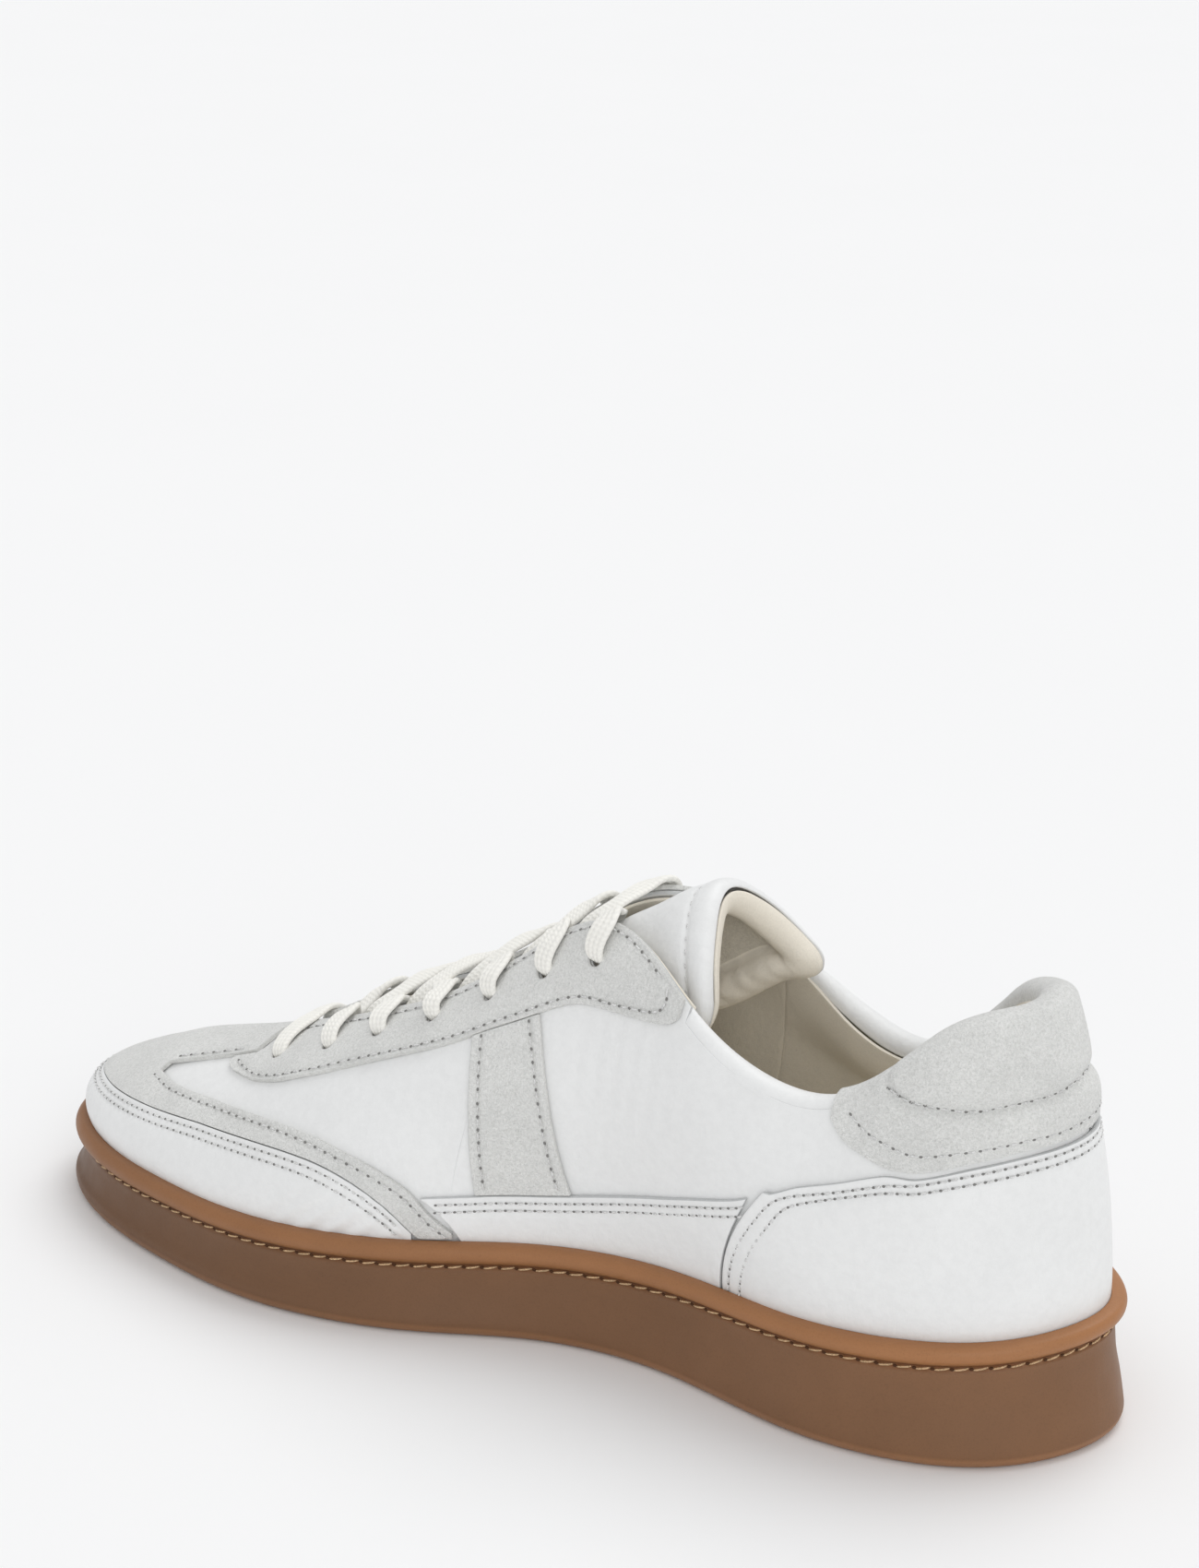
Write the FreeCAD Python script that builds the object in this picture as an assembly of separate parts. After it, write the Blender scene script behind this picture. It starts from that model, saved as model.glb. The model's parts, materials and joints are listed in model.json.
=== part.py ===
import FreeCAD, Part
import math
import os

# Low-cut court shoe, right foot, EU 42, in millimetres.
# +X runs to the toe, +Y to the inner (medial) side, +Z up; the outsole stands on z = 0.

# ---------------------------------------------------------------- driving sizes
SOLE_LENGTH = 300.0          # outsole, heel to toe, over the rim
SOLE_WIDTH = 104.0           # outsole, widest, over the rim
UPPER_HEIGHT = 110.5         # ground to the heel tab
GROOVE_MID = 18.9            # stitched groove above the ground, middle of the shoe
GROOVE_FALL = 6.6            # how far the groove falls from the middle to the toe
GROOVE_SAG = 1.4             # curvature of the groove line
RIM_HEIGHT = 6.5             # rim top above the groove
TUCK = 6.0                   # upper reaches this far down inside the rim
FLOOR = 5.0                  # outsole thickness under the filler
OVERLAY = 1.2                # suede and white leather overlays
BASE = 1.1                   # quarter and vamp leather
STIFFENER = 0.7              # toe puff, heel counter and interlining
LINING = 0.8                 # lining leather
LAYER_GAP = 0.1              # cement line between two layers
FIT_GAP = 0.15               # gap between neighbouring cut edges
COLLAR_PAD = 5.0             # extra thickness of the collar where the foam is
FOAM_EASE = 0.4              # foam kept clear of the lining where both curve
COLLAR_DROP = 0.06           # share of the wall height taken by the rolled top
FOLD_RISE = 4.6              # rise of the rolled collar top
BOARD = 1.8                  # strobel board
FOOTBED = 4.0                # footbed thickness
LACE_WIDTH = 6.5             # flat lace, laid out
LACE_THICK = 1.8             # flat lace thickness
HOLE_RADIUS = 2.2            # punched lace holes
THROAT_RISE = 0.62           # where the lace rises, as a share of the throat's half width
LACE_END_DIAMETER = 3.6      # free lace end, round with the same section area
AGLET_DIAMETER = 4.2         # tape tip round the lace end
AGLET_LENGTH = 20.0
TONGUE_BASE = 3.2            # tongue thickness at the seam
TONGUE_PAD = 7.6             # tongue thickness in the padded part
TONGUE_COVER = 1.2           # tongue leather
TONGUE_LINING = 1.0          # tongue lining leather

DEPTH_OVERLAY = 0.0
DEPTH_BASE = OVERLAY + LAYER_GAP
DEPTH_STIFFENER = DEPTH_BASE + BASE + LAYER_GAP
DEPTH_LINING = DEPTH_STIFFENER + STIFFENER + LAYER_GAP
DEPTH_INSIDE = DEPTH_LINING + LINING

# Stations round the shoe: heel, inner side, toe, outer side. Each holds the sole edge (x, y),
# the top of the upper (x, y, z), the shoulder below the top (dx, dy, dz) and the wall's
# lean at the sole (outwards, upwards). The sizes are for a 300 x 104 x 110.5 shoe.
STATIONS = [
    ((-150.0, 0.0), (-133.0, 0.0, 110.5), (-7.0, 0.0, -24.0), (0.5, 19.0)),
    ((-140.5, 22.0), (-128.0, 11.0, 108.5), (-5.5, 4.0, -23.0), (2.0, 19.0)),
    ((-118.0, 36.5), (-110.5, 24.5, 103.0), (-2.0, 8.0, -22.0), (4.5, 18.0)),
    ((-83.0, 38.8), (-86.0, 30.5, 85.3), (0.0, 7.0, -18.0), (4.0, 17.0)),
    ((-45.0, 30.0), (-53.0, 28.5, 96.0), (4.0, 9.0, -20.0), (4.0, 20.0)),
    ((-9.0, 32.0), (-20.5, 13.0, 109.0), (3.0, 13.0, -13.0), (3.0, 22.0)),
    ((23.0, 44.2), (16.0, 12.0, 85.8), (1.0, 15.0, -8.0), (2.5, 20.0)),
    ((60.0, 49.8), (53.0, 11.0, 67.7), (0.0, 18.0, -5.0), (2.0, 16.0)),
    ((92.0, 44.4), (80.0, 0.0, 55.4), (3.0, 19.0, -1.0), (2.5, 14.0)),
    ((119.5, 34.7), (103.0, 0.0, 49.2), (8.0, 16.0, -2.5), (3.5, 12.0)),
    ((140.5, 20.5), (117.0, 0.0, 44.2), (13.0, 10.0, -5.6), (4.0, 10.0)),
    ((150.0, 1.0), (122.0, 0.0, 42.3), (17.0, 0.0, -8.0), (4.5, 9.0)),
    ((140.5, -20.5), (117.0, 0.0, 44.2), (13.0, -8.0, -7.6), (4.0, 10.0)),
    ((119.5, -37.5), (103.0, 0.0, 49.2), (7.0, -13.0, -10.5), (3.5, 12.0)),
    ((92.0, -48.8), (80.0, 0.0, 55.4), (2.0, -14.0, -11.5), (2.5, 14.0)),
    ((60.0, -54.0), (53.0, -11.0, 67.7), (0.0, -16.0, -10.0), (2.0, 16.0)),
    ((23.0, -53.3), (16.0, -12.0, 85.8), (0.0, -18.0, -9.0), (2.5, 20.0)),
    ((-9.0, -49.4), (-20.5, -13.0, 109.0), (2.0, -15.0, -14.0), (3.0, 22.0)),
    ((-45.0, -44.0), (-55.0, -28.0, 94.0), (3.0, -9.0, -21.0), (4.0, 18.0)),
    ((-83.0, -40.4), (-88.0, -29.5, 78.5), (0.0, -8.0, -18.0), (4.0, 15.0)),
    ((-118.0, -35.0), (-112.0, -23.5, 98.0), (-3.0, -8.0, -21.0), (3.5, 17.0)),
    ((-140.5, -20.5), (-128.0, -11.0, 108.5), (-5.5, -4.0, -23.0), (1.5, 19.0)),
]
TURN = len(STATIONS)
TOE = 11.0
THROAT = 8.0
STRETCH_X = SOLE_LENGTH / 300.0
STRETCH_Y = SOLE_WIDTH / 104.0
STRETCH_Z = UPPER_HEIGHT / 110.5

# Lace holes, first the pair nearest the toe: (station, share of the wall height)
EYELETS = [(7.72, 0.76), (7.12, 0.82), (6.68, 0.865), (6.27, 0.88),
           (5.84, 0.86), (5.40, 0.83), (4.97, 0.85)]


# ---------------------------------------------------------------- splines
def natural_controls(data):
    last = len(data) - 1
    ctrl = list(data)
    for _ in range(60):
        for i in range(1, last):
            ctrl[i] = (data[i] * 6.0 - ctrl[i - 1] - ctrl[i + 1]) * 0.25
    return ctrl


def open_poles(data):
    ctrl = natural_controls(data)
    first = (ctrl[0] * 2.0 + ctrl[1]) * (1.0 / 3.0)
    final = (ctrl[-1] * 2.0 + ctrl[-2]) * (1.0 / 3.0)
    return [data[0], first] + ctrl[1:-1] + [final, data[-1]]


def closed_poles(data):
    n = len(data)
    ctrl = list(data)
    for _ in range(60):
        for i in range(n):
            ctrl[i] = (data[i] * 6.0 - ctrl[i - 1] - ctrl[(i + 1) % n]) * 0.25
    return ctrl


def open_knots(count):
    return [float(i) for i in range(count)], [4] + [1] * (count - 2) + [4]


def closed_knots(count):
    return [float(i) for i in range(count + 1)], [1] * (count + 1)


def transpose(grid):
    return [list(row) for row in zip(*grid)]


def open_face(grid):
    poles = transpose([open_poles(col) for col in transpose([open_poles(row) for row in grid])])
    uk, um = open_knots(len(grid))
    vk, vm = open_knots(len(grid[0]))
    surface = Part.BSplineSurface()
    surface.buildFromPolesMultsKnots(poles, um, vm, uk, vk, False, False, 3, 3)
    return surface.toShape()


def tube_face(rings):
    """Rings of points, each ring closed on itself, joined along their length."""
    around = [closed_poles(ring) for ring in rings]
    poles = transpose([open_poles(col) for col in transpose(around)])
    poles = transpose(poles)
    uk, um = closed_knots(len(rings[0]))
    vk, vm = open_knots(len(rings))
    surface = Part.BSplineSurface()
    surface.buildFromPolesMultsKnots(poles, um, vm, uk, vk, True, False, 3, 3)
    return surface.toShape()


def ring_wire(points):
    uk, um = closed_knots(len(points))
    curve = Part.BSplineCurve()
    curve.buildFromPolesMultsKnots(closed_poles(points), um, uk, True, 3)
    return Part.Wire([curve.toShape()])


def solid_of(faces):
    shell = Part.makeShell(faces)
    shell.sewShape()
    solid = Part.makeSolid(shell)
    if solid.Volume < 0.0:
        solid.reverse()
    return solid


def plate(cells):
    """Thick sheet from cells of (outer grid, inner grid); shared cell sides stay open."""
    sides = {}
    faces = []
    for outer, inner in cells:
        faces.append(open_face(outer))
        faces.append(open_face(inner))
        edges = [(outer[0], inner[0]), (outer[-1], inner[-1]),
                 ([r[0] for r in outer], [r[0] for r in inner]),
                 ([r[-1] for r in outer], [r[-1] for r in inner])]
        for top, under in edges:
            ends = sorted([spot(top[0]), spot(top[-1])])
            key = (tuple(ends), spot(top[len(top) // 2]))
            sides.setdefault(key, []).append((top, under))
    for pairs in sides.values():
        if len(pairs) == 1:
            faces.append(open_face([pairs[0][0], pairs[0][1]]))
    return solid_of(faces)


def spot(p):
    return (round(p.x, 3), round(p.y, 3), round(p.z, 3))


def vec(x, y, z):
    return FreeCAD.Vector(x, y, z)


# ---------------------------------------------------------------- shape of the last
def guide_controls(column):
    rows = [vec(*(list(s[column]) + [0.0] * (3 - len(s[column])))) for s in STATIONS]
    return closed_poles(rows)


GUIDES = [guide_controls(k) for k in range(4)]


def guide(column, u):
    ctrl = GUIDES[column]
    cell = int(math.floor(u))
    t = u - cell
    w = [(1 - t) ** 3 / 6.0, (3 * t ** 3 - 6 * t * t + 4) / 6.0,
         (-3 * t ** 3 + 3 * t * t + 3 * t + 1) / 6.0, t ** 3 / 6.0]
    total = vec(0, 0, 0)
    for k in range(4):
        total = total + ctrl[(cell + k - 1) % TURN] * w[k]
    return total


def sole_out(u):
    d = guide(0, u + 0.01) - guide(0, u - 0.01)
    return vec(-d.y, d.x, 0).normalize()


def groove_z(x):
    s = x / (150.0 * STRETCH_X)
    return GROOVE_MID - GROOVE_FALL * s + GROOVE_SAG * s * s


def rim_z(x):
    return groove_z(x) + RIM_HEIGHT + 0.3 * x / 150.0


def sole_edge(u, inset, z=0.0):
    p = guide(0, u) - sole_out(u) * inset
    return vec(p.x * STRETCH_X, p.y * STRETCH_Y, z)


def rim_edge(u, inset, lift=0.0):
    p = sole_edge(u, inset)
    return vec(p.x, p.y, rim_z(p.x) + lift)


def skin_point(u, v):
    """Outer surface of the upper: v = 0 at the rim, 1 at the top, below 0 inside the rim."""
    out = sole_out(u)
    foot = rim_edge(u, 3.9)
    lean = guide(3, u)
    wall = foot + out * lean.x + vec(0, 0, lean.y)
    top = guide(1, u)
    if on_ridge(u):
        top = guide(1, min(u % TURN, TURN - u % TURN))
        top.y = 0.0
    shoulder = top + guide(2, u)
    top = vec(top.x * STRETCH_X, top.y * STRETCH_Y, top.z * STRETCH_Z)
    shoulder = vec(shoulder.x * STRETCH_X, shoulder.y * STRETCH_Y, shoulder.z * STRETCH_Z)
    if v < 0.0:
        slope = (wall - foot) * (1.0 / lean.y)
        return foot + slope * (v * 10.0 * TUCK)
    a = 1.0 - v
    return foot * a ** 3 + wall * (3 * v * a * a) + shoulder * (3 * v * v * a) + top * v ** 3


def on_ridge(u):
    return THROAT <= u % TURN <= TURN - THROAT


def side_normal(u, v):
    du = skin_point(u + 0.02, v) - skin_point(u - 0.02, v)
    dv = skin_point(u, min(v + 0.002, 1.0)) - skin_point(u, min(v, 1.0) - 0.002)
    if v < 0.0:
        dv = skin_point(u, 0.0) - skin_point(u, -0.1)
    return dv.cross(du).normalize()


def skin_normal(u, v):
    if v > 0.998 and on_ridge(u):
        n = side_normal(u, 0.99) + side_normal(TURN - u, 0.99)
        n.y = 0.0
        return n.normalize()
    return side_normal(u, v)


def smooth(x):
    x = min(max(x, 0.0), 1.0)
    return x * x * (3.0 - 2.0 * x)


def round_heel(u):
    """Distance in stations from the middle of the heel."""
    u = u % TURN
    return min(u, TURN - u)


def pad(u, v):
    """Extra depth of the lining where the collar is padded."""
    along = 1.0 - smooth((round_heel(u) - 3.3) / 1.1)
    return COLLAR_PAD * along * smooth((v - 0.5) / 0.3)


def at_depth(u, v, depth):
    return skin_point(u, v) - skin_normal(u, v) * depth


def inside_depth(u, v):
    return DEPTH_INSIDE + pad(u, v)


def mix(a, b, t):
    return a + (b - a) * t


def along(points, t):
    """Value on a smooth line through hand-placed (station, height) points."""
    if t <= points[0][0]:
        return points[0][1]
    if t >= points[-1][0]:
        return points[-1][1]
    for (t0, v0), (t1, v1) in zip(points, points[1:]):
        if t <= t1:
            break
    k = points.index((t0, v0))
    before = points[max(k - 1, 0)]
    after = points[min(k + 2, len(points) - 1)]
    m0 = (v1 - before[1]) / (t1 - before[0])
    m1 = (after[1] - v0) / (after[0] - t0)
    h = t1 - t0
    s = (t - t0) / h
    return ((2 * s ** 3 - 3 * s * s + 1) * v0 + (s ** 3 - 2 * s * s + s) * h * m0
            + (3 * s * s - 2 * s ** 3) * v1 + (s ** 3 - s * s) * h * m1)


def mirror_u(u):
    return TURN - u


def panel_cell(corners, nu, nv, outer, inner):
    """One cell: corners(a, b) gives the station and height for a, b between 0 and 1."""
    top = []
    under = []
    for i in range(nu):
        spots = [corners(i / (nu - 1.0), j / (nv - 1.0)) for j in range(nv)]
        top.append([at_depth(u, v, outer(u, v)) for u, v in spots])
        under.append([at_depth(u, v, inner(u, v)) for u, v in spots])
    return top, under


def flat(depth):
    return lambda u, v: depth


def strip(u0, u1, low, high):
    """Cell corners between two height lines."""
    def corners(a, b):
        u = mix(u0, u1, a)
        v = mix(low(u), high(u), b)
        return u, v
    return corners


def sided(corners, side):
    if side > 0:
        return corners

    def other(a, b):
        u, v = corners(a, b)
        return mirror_u(u), v
    return other


# ---------------------------------------------------------------- panel outlines
# Heights of the panel edges along the inner side, by station; the outer side is the mirror.
RAND_TOP = [(5.85, 0.0), (6.1, 0.13), (6.4, 0.235), (6.75, 0.31), (7.2, 0.35), (8.0, 0.365),
            (8.7, 0.38), (9.4, 0.415), (10.2, 0.47), (11.0, 0.5)]
BAND_TOP = [(5.53, 0.0), (5.75, 0.09), (5.95, 0.19), (6.2, 0.27), (6.45, 0.335), (6.8, 0.41),
            (7.2, 0.455), (8.0, 0.485), (8.6, 0.53), (9.0, 0.6)]
STEM_EDGE = [(8.0, 0.77), (8.35, 0.735), (8.75, 0.695), (9.0, 0.66)]
EYESTAY_LOW = [(4.12, 0.96), (4.2, 0.885), (4.45, 0.79), (4.7, 0.735), (5.0, 0.705), (5.4, 0.68),
               (5.8, 0.695), (6.3, 0.718), (6.7, 0.71), (7.2, 0.66), (7.5, 0.625), (7.8, 0.615),
               (8.1, 0.645), (8.28, 0.7)]
FOXING_TOP = [(3.4, 0.5), (3.5, 0.462), (3.75, 0.385), (4.1, 0.29), (4.5, 0.215), (4.9, 0.175),
              (5.4, 0.165), (5.86, 0.165)]
HEEL_FOXING_TOP = [(0.0, 0.585), (1.0, 0.585), (1.6, 0.58), (2.1, 0.585), (2.4, 0.63),
                   (2.75, 0.64), (3.05, 0.62), (3.25, 0.56)]
HEEL_COLLAR_LOW = [(0.0, 0.6), (1.1, 0.6), (1.6, 0.595), (2.05, 0.6), (2.35, 0.645), (2.6, 0.73),
                   (2.78, 0.81), (2.9, 0.9), (2.95, 0.94)]
COLLAR_LINE = 1.0 - COLLAR_DROP


def rand_top(u):
    return along(RAND_TOP, u if u <= TOE else mirror_u(u))


def band_top(u):
    return along(BAND_TOP, u if u <= TOE else mirror_u(u))


def stem_edge(u):
    return along(STEM_EDGE, u if u <= TOE else mirror_u(u))


def level(v):
    return lambda u: v


def lens(depth_out, thick):
    return flat(depth_out), flat(depth_out + thick)


def split(spans, low, high, nu, nv, depths, side=1):
    cells = []
    for u0, u1 in spans:
        corners = sided(strip(u0, u1, low, high), side)
        cells.append(panel_cell(corners, nu, nv, depths[0], depths[1]))
    return cells


# ---------------------------------------------------------------- overlays
def toe_rand():
    depths = lens(DEPTH_OVERLAY, OVERLAY - LAYER_GAP)
    low = level(-0.1)
    high = lambda u: rand_top(u) - 0.003
    cells = split([(5.9, 7.1)], low, high, 13, 9, depths)
    cells += split([(7.1, TURN - 7.1)], low, high, 31, 9, depths)
    cells += split([(TURN - 7.1, TURN - 5.9)], low, high, 13, 9, depths)
    return plate(cells)


def cap_lines(u):
    """Two lines over the toe that carry the window's rounded front end to the tip."""
    s = smooth((u - 9.0) / 2.0)
    return mix(0.6, 0.66, s), mix(0.66, 0.72, s)


def toe_overlay():
    depths = lens(DEPTH_OVERLAY, OVERLAY)
    cells = []
    for side in (1, -1):
        low = lambda u: rand_top(u) + 0.003
        cells += split([(5.6, 9.0)], low, band_top, 15, 4, depths, side)
        cells += split([(9.0, TOE)], low, lambda u: cap_lines(u)[0], 9, 4, depths, side)
        cells += split([(9.0, TOE)], lambda u: cap_lines(u)[0], lambda u: cap_lines(u)[1],
                       9, 3, depths, side)
        cells += split([(9.0, TOE)], lambda u: cap_lines(u)[1], level(1.0), 9, 5, depths, side)
        cells += split([(8.06, 9.0)], stem_edge, level(1.0), 6, 5, depths, side)
    return plate(cells)


def eyestay(side):
    depths = lens(DEPTH_OVERLAY, OVERLAY)

    def high(u):
        if u > 8.0:
            return stem_edge(u) - 0.02
        return 1.0

    def front(u):
        return mix(1.0, stem_edge(8.0) - 0.02, smooth((u - 7.7) / 0.35))
    low = lambda u: along(EYESTAY_LOW, u)
    cells = split([(4.15, 4.6), (4.6, 7.7)], low, level(1.0), 12, 6, depths, side)
    cells += split([(7.7, 8.24)], low, lambda u: front(u) if u < 8.05 else high(u),
                   8, 6, depths, side)
    return plate(cells)


def saddle_panel(side):
    """Plain four-sided suede panel on the flank, between the eyestay and the foxing."""
    depths = lens(DEPTH_OVERLAY, OVERLAY)

    def corners(a, b):
        fore = mix(5.45, 5.82, b)
        aft = mix(4.75, 5.3, b)
        u = mix(aft, fore, a)
        low = along(FOXING_TOP, u) + 0.004
        high = along(EYESTAY_LOW, u) - 0.004
        return u, mix(low, high, b)
    return plate([panel_cell(sided(corners, side), 7, 8, depths[0], depths[1])])


def foxing(side):
    depths = lens(DEPTH_OVERLAY, OVERLAY)

    def corners(a, b):
        fore = mix(5.5, 5.86, b ** 2.2)
        aft = heel_foxing_end(mix(-0.1, 0.455, b)) + 0.02
        u = mix(aft, fore, a)
        return u, mix(-0.1, along(FOXING_TOP, u), b)
    return plate([panel_cell(sided(corners, side), 17, 7, depths[0], depths[1])])


def heel_foxing_end(v):
    """Station of the heel foxing's front edge at a height on the wall."""
    return mix(3.62, 3.3, ((v + 0.1) / 0.656) ** 2)


def heel_foxing():
    depths = lens(DEPTH_OVERLAY, OVERLAY)

    def corners(a, b):
        end = mix(3.62, 3.3, b ** 2)
        u = mix(-end, end, a)
        return u, mix(-0.1, along(HEEL_FOXING_TOP, abs(u)) - 0.004, b)
    return plate([panel_cell(corners, 31, 8, depths[0], depths[1])])


def fold_cell(u0, u1, nu, outer_depth, inner_depth, thick_in):
    """Collar leather rolled over the foam, from the outside round to the lining."""
    top = []
    under = []
    for i in range(nu):
        u = mix(u0, u1, i / (nu - 1.0))
        seat = skin_point(u, COLLAR_LINE)
        out = skin_normal(u, COLLAR_LINE)
        rise = (skin_point(u, 1.0) - seat).normalize()
        last = inside_depth(u, COLLAR_LINE)
        top.append(fold_arc(seat, out, rise, outer_depth, last, FOLD_RISE - outer_depth))
        under.append(fold_arc(seat, out, rise, inner_depth, last - thick_in,
                              FOLD_RISE - inner_depth))
    return top, under


def fold_arc(seat, out, rise, start, finish, height):
    middle = (start + finish) / 2.0
    reach = (finish - start) / 2.0
    arc = []
    for k in range(7):
        angle = math.pi * k / 6.0
        p = seat - out * (middle - reach * math.cos(angle)) + rise * (height * math.sin(angle))
        arc.append(p)
    return arc


def heel_collar():
    depths = lens(DEPTH_OVERLAY, OVERLAY)
    low = lambda u: along(HEEL_COLLAR_LOW, round_heel(u))
    cells = split([(-2.9, 2.9)], low, level(COLLAR_LINE), 31, 5, depths)
    cells.append(fold_cell(-2.9, 2.9, 31, 0.0, OVERLAY, LINING))
    return plate(cells)


# ---------------------------------------------------------------- base leather
def quarter(side):
    depths = lens(DEPTH_BASE, BASE)
    low = level(-0.1)
    cells = split([(0.03, 2.95)], low, level(COLLAR_LINE), 15, 9, depths, side)
    cells += split([(2.95, 4.1)], low, level(COLLAR_LINE), 7, 9, depths, side)
    fold = fold_cell(2.95, 4.1, 7, DEPTH_BASE, DEPTH_BASE + BASE, LINING)
    if side < 0:
        fold = fold_cell(mirror_u(2.95), mirror_u(4.1), 7, DEPTH_BASE, DEPTH_BASE + BASE, LINING)
    cells.append(fold)
    cells += split([(4.1, 5.6)], low, level(COLLAR_LINE), 9, 9, depths, side)
    cells += split([(4.1, 5.6)], level(COLLAR_LINE), level(1.0), 9, 3, depths, side)
    return plate(cells)


def wrap_toe(rear, depth, thick, low_line=-0.1):
    depths = lens(depth, thick)
    cells = []
    for side in (1, -1):
        cells += split([(rear, THROAT)], level(low_line), level(1.0), 9, 9, depths, side)
        cells += split([(THROAT, TOE)], level(low_line), level(1.0), 11, 9, depths, side)
    return plate(cells)


def vamp():
    return wrap_toe(5.62, DEPTH_BASE, BASE)


def vamp_lining():
    return wrap_toe(5.62, DEPTH_LINING, LINING)


def toe_puff():
    depths = lens(DEPTH_STIFFENER, STIFFENER)
    cells = []
    for side in (1, -1):
        cells += split([(9.2, TOE)], level(-0.1), level(1.0), 9, 9, depths, side)
    return plate(cells)


def interlining(side):
    depths = lens(DEPTH_STIFFENER, STIFFENER)
    return plate(split([(3.35, 8.0)], level(-0.1), level(0.46), 17, 5, depths, side))


def heel_counter():
    depths = lens(DEPTH_STIFFENER, STIFFENER)

    def corners(a, b):
        end = mix(3.3, 2.2, b)
        u = mix(-end, end, a)
        return u, mix(-0.1, 0.48, b)
    return plate([panel_cell(corners, 29, 6, depths[0], depths[1])])


def quarter_lining(side):
    outer = lambda u, v: DEPTH_LINING + pad(u, v)
    inner = inside_depth
    low = level(-0.1)
    cells = split([(0.03, 4.1)], low, level(COLLAR_LINE - 0.004), 19, 11, (outer, inner), side)
    body = plate(cells)
    rest = split([(4.12, 5.6)], low, level(1.0), 9, 11, (outer, inner), side)
    return body, plate(rest)


def collar_foam():
    """Foam between the quarter and the lining, domed under the rolled top."""
    rings = []
    count = 49
    for i in range(count):
        u = mix(-4.05, 4.05, i / (count - 1.0))
        start = DEPTH_BASE + BASE + 3.0 * LAYER_GAP
        bottom = 0.62
        ring = []
        for k in range(4):
            v = mix(bottom, COLLAR_LINE, k / 4.0)
            ring.append(at_depth(u, v, start))
        seat = skin_point(u, COLLAR_LINE)
        out = skin_normal(u, COLLAR_LINE)
        rise = (skin_point(u, 1.0) - seat).normalize()
        last = inside_depth(u, COLLAR_LINE) - LINING - FOAM_EASE
        ring += fold_arc(seat, out, rise, start, last, FOLD_RISE - start - 0.1)
        for k in range(3, -1, -1):
            v = mix(bottom, COLLAR_LINE, k / 4.0)
            back = max(inside_depth(u, v) - LINING - FOAM_EASE, start + 0.25)
            ring.append(at_depth(u, v, back))
        rings.append(ring)
    return tube_solid(rings)


def tube_solid(rings):
    faces = [tube_face(rings)]
    for ring in (rings[0], rings[-1]):
        centre = vec(0, 0, 0)
        for p in ring:
            centre = centre + p
        centre = centre * (1.0 / len(ring))
        faces.append(tube_face([ring, [mix(p, centre, 0.97) for p in ring]]))
        faces.append(Part.makeFilledFace([ring_wire([mix(p, centre, 0.97)
                                                     for p in ring]).Edges[0]]))
    return solid_of(faces)


# ---------------------------------------------------------------- sole
def ring_at(inset, height, count=66):
    points = []
    for i in range(count):
        p = sole_edge(TURN * i / float(count), inset)
        points.append(vec(p.x, p.y, height(p.x)))
    return points


def skin_ring(v, depth, count=66):
    return [at_depth(TURN * i / float(count), v, depth) for i in range(count)]


def flat_ring(points, z):
    return [vec(p.x, p.y, z) for p in points]


def cupsole():
    wall = [ring_at(2.6, lambda x: 0.0),
            ring_at(0.6, lambda x: 0.6),
            ring_at(-0.6, lambda x: 2.4),
            ring_at(-0.5, lambda x: 4.8),
            ring_at(0.7, lambda x: 0.44 * groove_z(x)),
            ring_at(1.9, lambda x: 0.66 * groove_z(x)),
            ring_at(2.5, lambda x: groove_z(x) - 2.6),
            ring_at(2.6, lambda x: groove_z(x) - 1.2),
            ring_at(3.3, lambda x: groove_z(x) - 0.1),
            ring_at(2.2, lambda x: groove_z(x) + 1.0),
            ring_at(0.6, lambda x: groove_z(x) + 2.2),
            ring_at(0.0, lambda x: groove_z(x) + 3.8),
            ring_at(0.5, lambda x: groove_z(x) + 5.3),
            ring_at(1.8, lambda x: rim_z(x) - 0.25)]
    lip = skin_ring(-0.002, -FIT_GAP)
    seat = skin_ring(-0.1, -FIT_GAP)
    base = flat_ring(seat, FLOOR)
    wall.append(lip)
    faces = [tube_face(wall), tube_face([lip, seat]), tube_face([seat, base]),
             Part.Face(ring_wire(wall[0])), Part.Face(ring_wire(base))]
    return solid_of(faces)


def sidewall_stitching():
    """Thread lying in the groove all round the cup."""
    corners = [(1.9, 0.55), (2.75, 0.15), (2.75, -0.35), (1.9, -0.75)]
    loops = [ring_at(inset, lambda x, dz=dz: groove_z(x) + dz) for inset, dz in corners]
    faces = []
    for k in range(4):
        faces.append(tube_face([loops[k - 1], loops[k]]))
    return solid_of(faces)


def slab(low, high):
    """Wedge between two heights that both follow the rim line along the shoe."""
    steps = [-170.0 + 20.0 * i for i in range(18)]
    faces = []
    rows = []
    for lift in (low, high):
        line = [vec(x, -80.0, rim_z(x) + lift) for x in steps]
        rows.append((line, [vec(p.x, 80.0, p.z) for p in line]))
        faces.append(open_face([rows[-1][0], rows[-1][1]]))
    for k in (0, 1):
        faces.append(open_face([rows[0][k], rows[1][k]]))
    for k in (0, -1):
        faces.append(open_face([[rows[0][0][k], rows[0][1][k]], [rows[1][0][k], rows[1][1][k]]]))
    return solid_of(faces)


def board_between(points, low, high):
    face = Part.Face(ring_wire(flat_ring(points, 0.0)))
    prism = face.extrude(vec(0, 0, 80.0))
    return prism.common(slab(low, high))


def midsole_filler():
    outline = skin_ring(-0.1, 0.0)
    face = Part.Face(ring_wire(flat_ring(outline, FLOOR + 0.1)))
    prism = face.extrude(vec(0, 0, 80.0))
    return prism.common(slab(-40.0, -TUCK - 0.15))


def strobel_board():
    outline = skin_ring(-0.1, DEPTH_INSIDE + FIT_GAP)
    return board_between(outline, -TUCK - 0.05, -TUCK - 0.05 + BOARD)


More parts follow.
